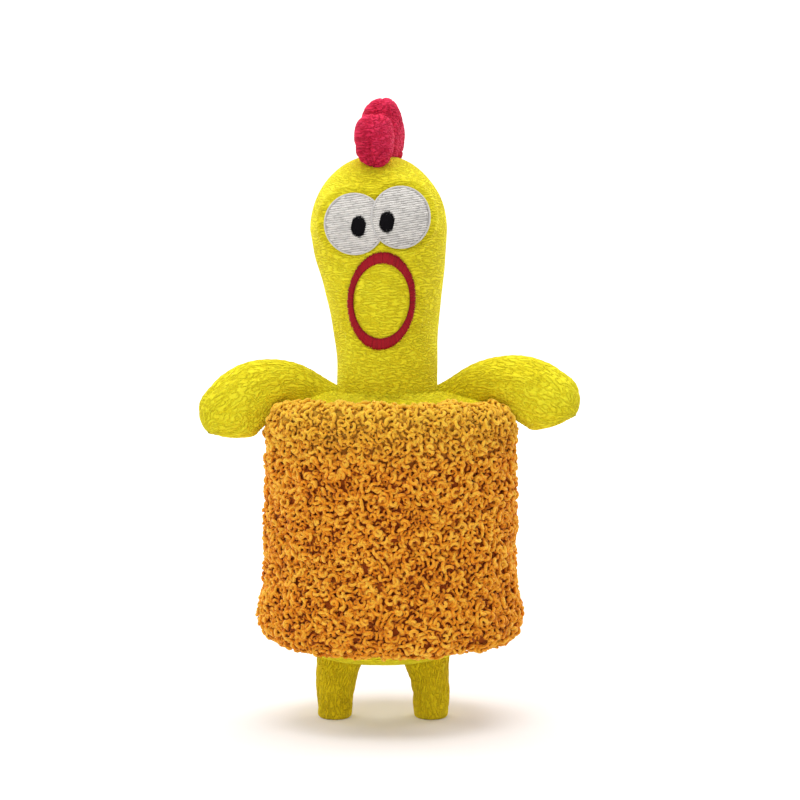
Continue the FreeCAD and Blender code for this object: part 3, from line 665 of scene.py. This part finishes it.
class Recipe(Net):
    """A Geometry Nodes tree with named inputs, run once on a mesh."""

    def __init__(self, name, **inputs):
        super().__init__(bpy.data.node_groups.new(name, "GeometryNodeTree"))
        self.tree.interface.new_socket("Geometry", in_out="INPUT", socket_type="NodeSocketGeometry")
        for label, kind in inputs.items():
            self.tree.interface.new_socket(label, in_out="INPUT", socket_type="NodeSocket" + kind)
        self.tree.interface.new_socket("Geometry", in_out="OUTPUT", socket_type="NodeSocketGeometry")
        self.entry = self.tree.nodes.new("NodeGroupInput")

    def input(self, label):
        return Value(self, self.entry.outputs[label])

    def random(self, kind, low, high, seed):
        first, output = {"FLOAT_VECTOR": (0, 0), "FLOAT": (2, 1), "INT": (4, 2)}[kind]
        return self.node("FunctionNodeRandomValue", {"data_type": kind},
                         {first: low, first + 1: high, 8: seed},
                         output)

    def named(self, label, kind="FLOAT"):
        return self.node("GeometryNodeInputNamedAttribute", {"data_type": kind}, {"Name": label})

    def finish(self, instances, seed, material):
        """Each instance keeps a random tint; all become one mesh of one material."""
        tinted = self.node("GeometryNodeStoreNamedAttribute", {"data_type": "FLOAT", "domain": "INSTANCE"},
                           {"Geometry": instances, "Name": "tint",
                            "Value": self.random("FLOAT", 0.0, 1.0, seed)})
        real = self.node("GeometryNodeRealizeInstances", None, {0: tinted})
        done = self.node("GeometryNodeSetMaterial", None, {"Geometry": real, "Material": material})
        leave = self.tree.nodes.new("NodeGroupOutput")
        self.tree.links.new(done.socket, leave.inputs[0])

    def run(self, name, source, **values):
        """A new object from the source mesh, which is removed."""
        modifier = source.modifiers.new("recipe", "NODES")
        modifier.node_group = self.tree
        for item in self.tree.interface.items_tree:
            if item.in_out == "INPUT" and item.name in values:
                modifier[item.identifier] = values[item.name]
        bpy.context.view_layer.update()
        mesh = bpy.data.meshes.new_from_object(source.evaluated_get(bpy.context.evaluated_depsgraph_get()))
        bpy.data.objects.remove(source)
        mesh.name = name
        mesh.polygons.foreach_set("use_smooth", [True] * len(mesh.polygons))
        made = bpy.data.objects.new(name, mesh)
        bpy.context.collection.objects.link(made)
        return made


def yarn(name, points, radius, sides, taper=0.75):
    """A closed round strand through the points, with each point's height from 0 to 1 kept as "height"."""
    points = np.asarray(points, float)
    tangent = np.gradient(points, axis=0)
    tangent /= np.linalg.norm(tangent, axis=1, keepdims=True)
    side = np.cross(tangent, (0.05, 0.1, 1.0))
    side /= np.linalg.norm(side, axis=1, keepdims=True)
    up = np.cross(side, tangent)
    turn = np.linspace(0, 2 * math.pi, sides, endpoint=False)
    thick = radius * np.concatenate([[taper], np.ones(len(points) - 2), [taper]])
    ring = np.cos(turn)[None, :, None] * side[:, None] + np.sin(turn)[None, :, None] * up[:, None]
    verts = (points[:, None] + thick[:, None, None] * ring).reshape(-1, 3)
    faces = []
    for row in range(len(points) - 1):
        for column in range(sides):
            beside = (column + 1) % sides
            faces.append((row * sides + column, (row + 1) * sides + column, (row + 1) * sides + beside,
                          row * sides + beside))
    faces += [tuple(range(sides)), tuple(reversed(range(len(verts) - sides, len(verts))))]
    mesh = bpy.data.meshes.new(name)
    mesh.from_pydata([tuple(vert) for vert in verts], [], faces)
    low, high = verts[:, 2].min(), verts[:, 2].max()
    height = mesh.attributes.new("height", "FLOAT", "POINT")
    height.data.foreach_set("value", (verts[:, 2] - low) / (high - low + 1e-9))
    return bpy.data.objects.new(name, mesh)


def curl_shapes():
    """Five curls a little over 3 mm across, each lying on the ground and lifting in its middle."""
    shapes = bpy.data.collections.new("curls")
    size = 1.5 * MM
    for number, (sweep, start, tight, lean) in enumerate(
            [(4.4, 0.0, 0.1, 1.2), (5.4, 0.5, 0.35, 1.6), (6.4, 1.0, 0.55, 2.0), (4.0, 2.0, 0.0, 1.6)]):
        t = np.linspace(0, 1, 10)
        angle, radius = start + sweep * t, size * (1 - tight * t)
        points = np.stack([radius * np.cos(angle), radius * np.sin(angle),
                           (lean * np.sin(0.5 * math.pi * t) ** 1.2 + 0.5 * np.sin(math.pi * t)) * MM], 1)
        shapes.objects.link(yarn(f"curl_{number}", points, 0.74 * MM, 4))
    t = np.linspace(-1, 1, 10)
    points = np.stack([1.6 * MM * t, 1.1 * MM * np.sin(3.1 * t), (1.7 * np.cos(1.5 * t)) * MM], 1)
    shapes.objects.link(yarn("curl_4", points, 0.74 * MM, 4))
    return shapes


def boucle():
    wool = Finish("golden_fleece", roughness=0.8, sheen_weight=0.35, sheen_roughness=0.5,
                  sheen_tint=(1.0, 0.75, 0.3, 1), specular_ior_level=0.2, subsurface_weight=0.12,
                  subsurface_radius=(1.0, 0.5, 0.15), subsurface_scale=0.0015)
    drift = wool.grain(wool.place(), 22, detail=2)
    fibre = wool.grain(wool.place(), 1500, detail=2)
    clump = wool.grain(wool.place(), 150)
    # By their height, curls run from dark brown at their foot to bright gold at their top: painted shade in
    # the crevices and a painted highlight on the crowns. Tint, drift, clump and fibre are the wool's own
    # uneven tone.
    level = wool.held("height") * 0.38 + wool.held("tint") * 0.2 + drift * 0.25 + clump * 0.4 + fibre * 0.1
    colour = wool.ramp(level, (0.36, (0.30, 0.055, 0.002)), (0.58, (0.62, 0.165, 0.004)),
                       (0.78, (0.86, 0.31, 0.009)),
                       (0.97, (1.0, 0.54, 0.05)))
    # Towards the top rim the fleece is blended towards yellow: painted light, the backlight and the yellow
    # plush's reflection on the rim.
    where = wool.node("ShaderNodeSeparateXYZ", None, {0: wool.place()}, output=2)
    top = wool.node("ShaderNodeMapRange", None, {0: where, 1: 0.135, 2: 0.166, 3: 0.0, 4: 0.55})
    colour = wool.blend(top, colour, (0.93, 0.66, 0.05, 1))
    return wool.wear(base_color=colour, normal=wool.bump(fibre, 0.0002, 0.7))


GOLDEN_FLEECE = boucle()


def wing_dent(side_grid, z, y):
    """How far out the body may reach at a height and depth without entering the wing."""
    points = side_grid.reshape(-1, 3)
    points = points[np.abs(points[:, 1]) < 5 * MM]
    levels = np.arange(0.090, 0.176, 0.002)
    inner = []
    for level in levels:
        near = np.abs(points[np.abs(points[:, 2] - level) < 0.0016][:, 0])
        inner.append(near.min() if len(near) else 1.0)
    inner = np.interp(z, levels, inner, left=1.0, right=1.0)
    return inner + 0.5 * smooth_step(9 * MM, 16 * MM, np.abs(y))


def fleece_ground():
    low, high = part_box("fleece_front_lower")[0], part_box("fleece_front_upper")[1]
    top, bottom = high.z * 1000, low.z * 1000
    nap = 2.3
    rows = [(-3.9, bottom + 3.2, 40, 31, 0), (-3.9, bottom + 2.6, 43, 34, 0),
            (-2.5, bottom + 1.9, 49, 37.5, 1),
            (-1, bottom + 2.2, 55.5, 41, 1), (0, bottom + 4.2, 61, 44.6, 1), (0, bottom + 8, 64.3, 46.8, 1),
            (0, bottom + 14, 65.6, 47.5, 1), (0, bottom + 24, 64.4, 46.4, 1), (0, bottom + 37, 62.9, 45.3, 1),
            (0, bottom + 53, 62.7, 45.2, 1), (0, bottom + 69, 62.6, 45.1, 1), (0, bottom + 84, 62.0, 44.7, 1),
            (0, bottom + 98, 61.6, 44.4, 1), (0, bottom + 108, 62.3, 44.9, 1), (0, top - 9, 62.6, 45.1, 1),
            (0, top - 5, 60.9, 44, 1), (0, top - nap - 0.6, 57.3, 40.5, 1), (0, top - nap - 0.3, 54, 36.5, 1),
            (0, top - 4.5, 51, 33.2, 0), (0, top - 7, 47, 29.5, 0)]
    rows = np.array(rows)
    at = np.arange(len(rows))
    fine = np.linspace(0, len(rows) - 1, 5 * len(rows))
    x, z, half, deep, cover = flow(at, rows * np.array([MM, MM, MM, MM, 1]), fine).T
    grid = rings(np.stack([x, np.zeros_like(x), z], 1), np.full(len(x), math.pi / 2), half, deep, 180)
    # the rim stands a little higher before and behind the neck than at the shoulders
    middle = 1 - smooth_step(20 * MM, 52 * MM, np.abs(grid[..., 0]))
    grid[..., 2] += (2.0 + 1.4 * middle) * MM * smooth_step((top - 14) * MM, (top - 3) * MM, grid[..., 2])
    normals = outward(grid)
    lumps = 1.1 * MM * ripple(grid, 26 * MM, 41) + 1.7 * MM * ripple(grid, 8 * MM, 42)
    grid = grid + lumps[..., None] * normals
    cover = np.repeat(cover[:, None], grid.shape[1], 1).clip(0, 1)
    for side, sign in (("left", 1), ("right", -1)):
        reach = wing_dent(wing_grids[side], grid[..., 2], grid[..., 1]) - 1.5 * MM
        over = sign * grid[..., 0] > reach
        cover = np.where(sign * grid[..., 0] > reach - 1.0 * MM, np.minimum(cover, 0.1), cover)
        grid[..., 0] = np.where(over, sign * reach, grid[..., 0])
    return grid, cover


fleece_grid, fleece_cover = fleece_ground()
fleece_ends = [(0, Vector((-3.9 * MM, 0, fleece_grid[0, :, 2].mean()))),
               (len(fleece_grid) - 1, Vector((0, 0, fleece_grid[-1, :, 2].mean())))]
fleece_body = skin("fleece_body", fleece_grid, fleece_ends, material=GOLDEN_FLEECE)
# At height 0 the ground takes the fleece's darkest brown: painted shade between the curls.
fleece_body.data.attributes.new("height", "FLOAT", "POINT")  # the ground under the curls lies at height 0
fit(fleece_body, "golden_fleece", "fleece_front_upper", "fleece_front_lower", "fleece_back_upper",
    "fleece_back_lower", "torso_filling_front", "torso_filling_back", body="torso", fill=0.8)


def curl_recipe():
    recipe = Recipe("curls", Shapes="Collection", Spacing="Float", Seed="Int", Material="Material")
    seed = recipe.input("Seed")
    spread = recipe.tree.nodes.new("GeometryNodeDistributePointsOnFaces")
    spread.distribute_method = "POISSON"
    recipe.give(spread, {"Mesh": recipe.input("Geometry"), "Distance Min": recipe.input("Spacing"),
                         "Density Max": 400000.0, "Density Factor": recipe.named("cover"), "Seed": seed})
    shapes = recipe.node("GeometryNodeCollectionInfo", None,
                         {"Collection": recipe.input("Shapes"), "Separate Children": True,
                          "Reset Children": True})
    spin = recipe.random("FLOAT_VECTOR", (-0.75, -0.75, 0.0), (0.75, 0.75, 6.28), seed)
    turned = recipe.node("FunctionNodeRotateRotation", {"rotation_space": "LOCAL"},
                         {0: Value(recipe, spread.outputs["Rotation"]), 1: spin})
    placed = recipe.node("GeometryNodeInstanceOnPoints", None, {
        "Points": Value(recipe, spread.outputs["Points"]), "Instance": shapes, "Pick Instance": True,
        "Instance Index": recipe.random("INT", 0, 4, seed), "Rotation": turned,
        "Scale": recipe.random("FLOAT", 0.75, 1.45, seed)})
    recipe.finish(placed, seed, recipe.input("Material"))
    return recipe


def curly_coat():
    """The ground is parted into sectors, so that no piece is too heavy."""
    recipe, shapes = curl_recipe(), curl_shapes()
    columns, sectors = fleece_grid.shape[1], 10
    for sector in range(sectors):
        first, last = columns * sector // sectors, columns * (sector + 1) // sectors
        strip = np.take(fleece_grid, range(first, last + 1), axis=1, mode="wrap")
        cover = np.take(fleece_cover, range(first, last + 1), axis=1, mode="wrap")
        rows, count = strip.shape[:2]
        faces = [(row * count + column, row * count + column + 1, (row + 1) * count + column + 1,
                  (row + 1) * count + column) for row in range(rows - 1) for column in range(count - 1)]
        mesh = bpy.data.meshes.new("fleece_strip")
        mesh.from_pydata([tuple(point) for point in strip.reshape(-1, 3)], [], faces)
        mesh.attributes.new("cover", "FLOAT", "POINT").data.foreach_set("value", cover.ravel())
        source = bpy.data.objects.new("fleece_strip", mesh)
        bpy.context.collection.objects.link(source)
        coat = recipe.run(f"fleece_curls_{sector}", source, Shapes=shapes, Spacing=1.6 * MM, Seed=sector,
                          Material=GOLDEN_FLEECE)
        fit(coat, "golden_fleece", body="torso")
    for shape in list(shapes.objects):
        bpy.data.objects.remove(shape)
    bpy.data.collections.remove(shapes)


curly_coat()


def stitch_recipe():
    """One strand on each point of a mesh, along "along", lying on "out" and as long as "reach"."""
    recipe = Recipe("stitches", Strand="Object", Seed="Int", Material="Material")
    strand = recipe.node("GeometryNodeObjectInfo", None, {"Object": recipe.input("Strand")},
                         output="Geometry")
    across = recipe.node("FunctionNodeAlignRotationToVector", {"axis": "X"},
                         {"Vector": recipe.named("along", "FLOAT_VECTOR")})
    upright = recipe.node("FunctionNodeAlignRotationToVector", {"axis": "Z", "pivot_axis": "X"},
                          {"Rotation": across, "Vector": recipe.named("out", "FLOAT_VECTOR")})
    size = recipe.node("ShaderNodeCombineXYZ", None, {0: recipe.named("reach"), 1: recipe.named("wide"),
                                                     2: recipe.named("wide")})
    placed = recipe.node("GeometryNodeInstanceOnPoints", None, {
        "Points": recipe.input("Geometry"), "Instance": strand, "Rotation": upright, "Scale": size})
    recipe.finish(placed, recipe.input("Seed"), recipe.input("Material"))
    return recipe


STITCHES = stitch_recipe()


def strands(name, rows, radius, material, sides=5, bow=0.0, taper=0.5):
    """Strands from rows of (place, direction, normal, length, width), each bowed up in its middle."""
    t = np.linspace(-0.5, 0.5, 5)
    strand = yarn(name + "_strand", np.stack([t, 0 * t, 0 * t], 1), 1.0, sides, taper)
    for vert in strand.data.vertices:
        vert.co.y *= radius
        vert.co.z = (vert.co.z + bow * math.cos(math.pi * vert.co.x)) * radius
    mesh = bpy.data.meshes.new(name)
    mesh.from_pydata([tuple(row[0]) for row in rows], [], [])
    for label, kind, index in (("along", "FLOAT_VECTOR", 1), ("out", "FLOAT_VECTOR", 2),
                               ("reach", "FLOAT", 3),
                               ("wide", "FLOAT", 4)):
        values = np.array([row[index] for row in rows], float).ravel()
        mesh.attributes.new(label, kind, "POINT").data.foreach_set(
            "vector" if kind == "FLOAT_VECTOR" else "value", values)
    source = bpy.data.objects.new(name, mesh)
    bpy.context.collection.objects.link(source)
    bpy.context.collection.objects.link(strand)
    made = STITCHES.run(name, source, Strand=strand, Seed=7, Material=material)
    bpy.data.objects.remove(strand)
    return made


def hem():
    chance = np.random.default_rng(5)
    rows = []
    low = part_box("fleece_front_lower")[0].z
    for turn in np.sort(chance.uniform(0, 2 * math.pi, 1500)):
        spread = chance.uniform(0.0, 1.0)
        half, deep = 43 + 9 * spread, 34 + 5.5 * spread
        lift = 1.0 + 0.9 * noise.noise((math.cos(turn) * 3, math.sin(turn) * 3, 1.0))
        place = np.array((-3.9 * MM + half * MM * math.cos(turn), deep * MM * math.sin(turn),
                          low + (0.4 + lift * 0.9) * MM))
        along = np.array((math.cos(turn) * (spread - 0.4) * 0.7, math.sin(turn) * (spread - 0.4) * 0.7, -1.0))
        along = along + chance.normal(0, 0.22, 3)
        rows.append((place, along, (math.cos(turn), math.sin(turn), 0.2), chance.uniform(2.6, 4.6) * MM,
                     chance.uniform(0.8, 1.2)))
    brush = strands("hem_brush", rows, 0.16 * MM, GOLDEN_FLEECE, sides=3, bow=1.5, taper=0.3)
    fit(brush, "golden_fleece", body="torso")


hem()


# ------------------------------------------------------------------ comb
# Three lobes of crimson plush cut as one pair of panels, sewn along the ridge, filled, and sewn to the crown
# a little askew.  The plush is pulled in at the foot of the front lobe.

CRIMSON_PLUSH = plush("crimson_plush", (0.80, 0.045, 0.13), (0.66, 0.014, 0.06), (0.36, 0.004, 0.024), 0.5)


def comb():
    joint = next(item for item in frame["joints"] if item["name"] == "comb_flop")
    base, along = Vector(joint["pos_m"]), Vector(joint["axis"])
    across = Vector((along.y, -along.x, 0))
    lobes = [(-15.0, 4.2, 20.5, 21.0, 28.0), (0.0, 8.4, 21.0, 22.0, 37.0), (13.5, 6.5, 17.0, 20.0, 30.0)]
    build = bmesh.new()
    for offset, rise, wide, long, tall in lobes:
        middle = base + along * offset * MM + Vector((0, 0, rise * MM))
        made = bmesh.ops.create_uvsphere(build, u_segments=32, v_segments=20, radius=1.0)
        for vert in made["verts"]:
            x, y, z = vert.co
            blunt = 1.0
            if 0 < z < 0.999:
                blunt = (1 - z ** 2.9) ** (1 / 2.9) / max(1 - z * z, 1e-9) ** 0.5
            vert.co = middle + (across * x * wide + along * y * long) * blunt / 2 * MM \
                + Vector((0, 0, z * tall / 2 * MM))
    mesh = bpy.data.meshes.new("comb_skin")
    build.to_mesh(mesh)
    build.free()
    piece = bpy.data.objects.new("comb_skin", mesh)
    bpy.context.collection.objects.link(piece)
    whole = piece.modifiers.new("whole", "REMESH")
    whole.mode, whole.voxel_size = "VOXEL", 0.62 * MM
    soft = piece.modifiers.new("soft", "SMOOTH")
    soft.factor, soft.iterations = 0.5, 4
    mesh = bpy.data.meshes.new_from_object(piece.evaluated_get(bpy.context.evaluated_depsgraph_get()))
    piece.modifiers.clear()
    piece.data = mesh
    count = len(mesh.vertices)
    place, normal = np.empty(count * 3), np.empty(count * 3)
    mesh.vertices.foreach_get("co", place)
    mesh.vertices.foreach_get("normal", normal)
    place, normal = place.reshape(-1, 3), normal.reshape(-1, 3)
    side = (place - np.array(base)) @ np.array(across)
    run = (place - np.array(base)) @ np.array(along)
    rise = place[:, 2] - base.z
    bend = 0.8 * MM * ripple(np.stack([run, rise, rise * 0], 1), 12 * MM, 51)
    ridge = np.exp(-((side - bend) / (0.75 * MM)) ** 2)
    front = np.stack([np.arctan2(side, rise + 9 * MM) * 4.5, run / (14 * MM), rise / (14 * MM)], 1)
    gather = creases(front, 52, 0.16) * (1 - smooth_step(-5 * MM, 8 * MM, rise))
    pucker = np.cos((run + rise) / (2.9 * MM) * 2 * math.pi) * np.exp(-((side - bend) / (2.6 * MM)) ** 2)
    move = (-0.9 * ridge - 1.4 * gather + 0.22 * pucker + 0.9 * ripple(place, 9 * MM, 53)
            - 0.35 * creases(place / (5.5 * MM), 54, 0.12)) * MM
    place = place + move[:, None] * normal
    mesh.vertices.foreach_set("co", place.ravel())
    mesh.polygons.foreach_set("use_smooth", [True] * len(mesh.polygons))
    mesh.materials.clear()
    mesh.materials.append(CRIMSON_PLUSH)
    mapping = mesh.uv_layers.new(name="cloth")
    corner = np.empty(len(mesh.loops), int)
    mesh.loops.foreach_get("vertex_index", corner)
    mapping.data.foreach_set("uv", np.stack([(side + run)[corner], rise[corner]], 1).ravel())
    fit(piece, "crimson_plush", "comb_left_panel", "comb_right_panel", "comb_filling",
        bend=("head", "comb", base - Vector((0, 0, 9 * MM)), base + Vector((0, 0, 3 * MM))), fill=0.7)


comb()


# ------------------------------------------------------------------ embroidered face
# Eyes, pupils and mouth are satin-stitched in thick thread on pads sewn to the face: rows of lilac-grey thread
# with a white cord round each eye, black pupils, and a dark red ring of radial stitches for the beak.

def satin(name, light, dark, gloss=0.2):
    thread = Finish(name, roughness=0.5, specular_ior_level=gloss)
    fine = thread.grain(thread.place(stretch=(1, 1, 2.5)), 2400, detail=2)
    # By their height, stitches are lighter at their crown than at their foot, and the pads and cords, which
    # have no height, take the dark colour: a painted highlight and painted shade between the stitches. Tint
    # and fine are the thread's own uneven tone.
    tone = thread.held("tint") * 0.45 + thread.held("height") * 0.4 + fine * 0.3
    return thread.wear(base_color=thread.ramp(tone, (0.2, dark), (0.75, light)),
                       normal=thread.bump(fine, 0.00012, 0.6))


# The second colour of each thread is its painted shade, at the foot of the stitches and on the pads.
LILAC = satin("lilac_thread", (0.84, 0.81, 0.77), (0.52, 0.50, 0.48))
WHITE = satin("white_cord", (0.90, 0.88, 0.85), (0.60, 0.58, 0.56))
BLACK = satin("black_thread", (0.008, 0.007, 0.009), (0.002, 0.002, 0.002), 0.05)
DARK_RED = satin("dark_red_thread", (0.42, 0.006, 0.018), (0.17, 0.001, 0.005))


def pad(name, patch, height, material, slot, columns=72):
    """A low dome with an upright edge, rooted in the plush."""
    rows = [(0.93, -1.6), (1.0, -1.2), (1.0, 0.3 * height * 1000), (0.985, 0.7 * height * 1000),
            (0.95, 0.95 * height * 1000)] + [(share, height * 1000 + 0.25 * (1 - share ** 2))
                                              for share in (0.85, 0.65, 0.4, 0.15)]
    turns = np.linspace(0, 2 * math.pi, columns, endpoint=False)
    grid = np.array([[patch.at(share * math.cos(turn), share * math.sin(turn), above * MM)[0]
                      for turn in turns]
                     for share, above in rows])
    ends = [(0, patch.at(0, 0, -1.6 * MM)[0]), (len(grid) - 1, patch.at(0, 0, height + 0.25 * MM)[0])]
    piece = skin(name, grid, ends, material=material)
    fit(piece, slot, body="head")
    return piece


def cord(name, patch, share, above, radius, material, slot, columns=120):
    """A round cord along an oval's edge."""
    grid = []
    for section in np.linspace(0, 2 * math.pi, 8, endpoint=False):
        ring = []
        for turn in np.linspace(0, 2 * math.pi, columns, endpoint=False):
            u, v = share * math.cos(turn), share * math.sin(turn)
            centre, normal = patch.at(u, v, above)
            ahead, _ = patch.at(share * math.cos(turn + 0.02), share * math.sin(turn + 0.02), above)
            radial = (ahead - centre).normalized().cross(normal)
            ring.append(centre + (radial * -math.cos(section) + normal * math.sin(section)) * radius)
        grid.append(ring)
    piece = skin(name, np.array(grid), closed_along=True, material=material)
    fit(piece, slot, body="head")
    return piece


def embroidered_rows(patch, pitch, length, lean, above, seed):
    """Rows of stitches that fill an oval, each row leaning up towards the toy's left."""
    chance = np.random.default_rng(seed)
    c, s = math.cos(math.radians(lean)), math.sin(math.radians(lean))
    rows = []
    reach = max(patch.wide, patch.tall)
    for number, offset in enumerate(np.arange(-reach, reach, pitch)):
        start = -reach + (number % 3) * length / 3 + chance.uniform(0, 0.5 * length)
        for middle in np.arange(start - length, reach + length, length):
            pieces = np.linspace(middle - length / 2, middle + length / 2, 21)
            x, z = pieces * c - offset * s, pieces * s + offset * c
            inside = (x / (patch.wide * 0.95)) ** 2 + (z / (patch.tall * 0.95)) ** 2 < 1
            if inside.sum() < 4:
                continue
            along = pieces[inside]
            centre, long = along.mean(), along[-1] - along[0] + length * 0.2
            x, z = centre * c - offset * s, centre * s + offset * c
            place, normal = patch.at(x / patch.wide, z / patch.tall, above)
            ahead, _ = patch.at((x + 1e-3 * c) / patch.wide, (z + 1e-3 * s) / patch.tall, above)
            rows.append((place, ahead - place, normal, long, chance.uniform(0.94, 1.06)))
    return rows


def eye(side, above, pupil_above):
    outline = patches[f"{side}_eye"]
    replaced = pad(f"{side}_eye_pad", outline, above, LILAC, "eye_embroidery")
    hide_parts(f"{side}_eye")
    rows = embroidered_rows(outline, 1.08 * MM, 7.5 * MM, 8, above + 0.12 * MM, 3)
    fit(strands(f"{side}_eye_rows", rows, 0.56 * MM, LILAC), "eye_embroidery", body="head")
    cord(f"{side}_eye_border", outline, 0.985, above + 0.1 * MM, 0.62 * MM, WHITE, "eye_embroidery")
    dark = patches[f"{side}_pupil"]
    replaced = pad(f"{side}_pupil_pad", dark, pupil_above, BLACK, "pupil_embroidery", 48)
    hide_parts(f"{side}_pupil")
    rows = embroidered_rows(dark, 0.42 * MM, 12 * MM, 78, pupil_above + 0.12 * MM, 4)
    fit(strands(f"{side}_pupil_rows", rows, 0.25 * MM, BLACK), "pupil_embroidery", body="head")


eye("right", 0.75 * MM, 1.35 * MM)
eye("left", 1.25 * MM, 1.85 * MM)


def mouth():
    outer = patches["mouth"]
    inner = (1 - 2.8 * MM / outer.wide, 1 - 5.6 * MM / outer.tall)
    chance = np.random.default_rng(11)
    rows, grid = [], []
    for turn in np.linspace(0, 2 * math.pi, 360, endpoint=False):
        for layer in (0, 1):
            here = turn + chance.uniform(-0.006, 0.006)
            rim = np.array((math.cos(here), math.sin(here)))
            hole = rim * np.array(inner)
            jag = chance.uniform(-0.018, 0.018, 2)
            far, near = rim * (1 + jag[0]), hole * (1 - jag[1])
            middle = (far + near) / 2
            place, normal = outer.at(*middle, (0.35 + 0.28 * layer) * MM)
            ends = [outer.at(*end, 0.2 * MM)[0] for end in (far, near)]
            rows.append((place, ends[0] - ends[1], normal, (ends[0] - ends[1]).length,
                         chance.uniform(0.85, 1.15)))
    fit(strands("mouth_stitches", rows, 0.24 * MM, DARK_RED, bow=0.8), "mouth_embroidery", body="head")
    section = [(1.0, -1.2), (1.0, 0.15), (0.8, 0.45), (0.5, 0.6), (0.2, 0.45), (0.0, 0.15), (0.0, -1.2)]
    for share, above in section:
        ring = []
        for turn in np.linspace(0, 2 * math.pi, 120, endpoint=False):
            rim = np.array((math.cos(turn), math.sin(turn))) * 0.985
            spot = rim * (share + (1 - share) * (np.array(inner) * 1.02))
            ring.append(outer.at(*spot, above * MM)[0])
        grid.append(ring)
    piece = skin("mouth_band", np.array(grid), closed_along=True, material=DARK_RED)
    fit(piece, "mouth_embroidery", "mouth_ring", body="head")


mouth()


# ------------------------------------------------------------------ squeaker
# A polythene squeaker with a pleated wall and a thin amber leaf on its reed, in a pouch of thin white cloth,
# hidden in the filling behind the belly.

def moulded(name, colour, rough, through=0.0):
    plastic = Finish(name, roughness=rough, transmission_weight=through)
    mottle = plastic.grain(plastic.place(), 180)
    tone = plastic.ramp(mottle, (0.3, tuple(part * 0.85 for part in colour)), (0.7, colour))
    return plastic.wear(base_color=tone, normal=plastic.bump(mottle, 0.0001, 0.3))


def pouch_cloth():
    cloth = Finish("pouch_cloth", roughness=0.9)
    where = cloth.place()
    weave = cloth.node("ShaderNodeTexWave", {"bands_direction": "X"}, {"Vector": where, "Scale": 450.0}) \
        * cloth.node("ShaderNodeTexWave", {"bands_direction": "Z"}, {"Vector": where, "Scale": 450.0})
    return cloth.wear(base_color=cloth.ramp(weave, (0.0, (0.62, 0.6, 0.56)), (1.0, (0.86, 0.85, 0.82))),
                      normal=cloth.bump(weave, 0.0002, 0.5))


def dress(material, *nodes):
    for name in nodes:
        slots = frame["nodes"][name].data.materials
        slots.clear()
        slots.append(material)


dress(moulded("squeaker_plastic", (0.82, 0.85, 0.88), 0.4, 0.2), "squeaker_cup", "squeaker_bellows",
      "squeaker_crown",
      "squeaker_reed")
dress(moulded("reed_film", (0.75, 0.6, 0.3), 0.3), "reed_leaf")
dress(pouch_cloth(), "squeaker_pouch_front", "squeaker_pouch_back")


# ------------------------------------------------------------------ studio
# A pale floor that curves up behind the toy and glows, brighter and whiter towards the back and greyer near
# the toy as painted light and shade, a large soft light on each side and above, and a long lens a little above
# the toy's middle.

def aimed(item, place, target):
    item.location = place
    item.rotation_euler = (Vector(target) - Vector(place)).to_track_quat("-Z", "Y").to_euler()
    bpy.context.collection.objects.link(item)
    return item


def backdrop(width=4.0, front=-2.5, back=1.6, radius=0.8, height=3.0):
    """Floor, curve and wall in one sheet."""
    side = [(front, 0.0), (back, 0.0)]
    for turn in np.linspace(0, math.pi / 2, 16)[1:]:
        side.append((back + radius * math.sin(turn), radius * (1 - math.cos(turn))))
    side.append((back + radius, height))
    verts = [(x, y, z) for y, z in side for x in (-width, width)]
    faces = [(2 * row, 2 * row + 1, 2 * row + 3, 2 * row + 2) for row in range(len(side) - 1)]
    mesh = bpy.data.meshes.new("backdrop")
    mesh.from_pydata(verts, [], faces)
    mesh.polygons.foreach_set("use_smooth", [True] * len(faces))
    sheet = bpy.data.objects.new("backdrop", mesh)
    bpy.context.collection.objects.link(sheet)
    # The sheet glows more and is whiter towards the back, and is greyer and dimmer on the floor round the toy:
    # painted light and painted shade.
    paper = Finish("backdrop_paper", roughness=0.9, emission_strength=0.5)
    away = paper.node("ShaderNodeSeparateXYZ", None, {0: paper.place()}, output=1)
    glow = paper.node("ShaderNodeMapRange", None, {0: away, 1: 0.15, 2: 1.1, 3: 0.08, 4: 1.0})
    painted_light_paper = paper.ramp(glow, (0.1, (0.82, 0.80, 0.785)), (0.5, (0.93, 0.93, 0.92)))
    mesh.materials.append(paper.wear(base_color=painted_light_paper,
                                     emission_color=paper.blend(glow, (0, 0, 0, 1), (1, 1, 1, 1))))


def softbox(name, place, size, power, target=(0, 0, 0.16), tint=(1, 1, 1)):
    lamp = bpy.data.lights.new(name, "AREA")
    lamp.shape = "RECTANGLE"
    lamp.size, lamp.size_y = size
    lamp.energy = power
    lamp.color = tint
    aimed(bpy.data.objects.new(name, lamp), place, target)


def studio():
    backdrop()
    softbox("key_light", (-0.9, -1.1, 1.25), (1.0, 1.0), 9.5)
    softbox("fill_light", (1.2, -1.0, 0.75), (1.2, 1.2), 3.4)
    softbox("top_light", (0.0, 0.1, 1.5), (1.4, 1.0), 20)
    softbox("rim_light_left", (-1.1, 0.9, 0.6), (0.8, 1.2), 8.5)
    softbox("rim_light_right", (1.1, 0.9, 0.6), (0.8, 1.2), 8.5)
    world = bpy.data.worlds.new("studio")
    world.use_nodes = True
    world.node_tree.nodes["Background"].inputs["Color"].default_value = (1, 1, 1, 1)
    world.node_tree.nodes["Background"].inputs["Strength"].default_value = 0.32
    bpy.context.scene.world = world
    lens = bpy.data.cameras.new("camera")
    lens.lens, lens.sensor_width = 100, 36
    toy_share = 0.7775  # of the view's height; the view's middle is a little above the toy's
    frame_height = (CAD_BOX[1][2] - CAD_BOX[0][2]) / toy_share
    middle = Vector((0.005, 0, CAD_BOX[1][2] * 0.519))
    rise = math.radians(6.0)
    distance = frame_height * lens.lens / lens.sensor_width
    place = middle + distance * Vector((0, -math.cos(rise), math.sin(rise)))
    bpy.context.scene.camera = aimed(bpy.data.objects.new("camera", lens), place, middle)
    bpy.context.scene.view_settings.view_transform = "Standard"


studio()
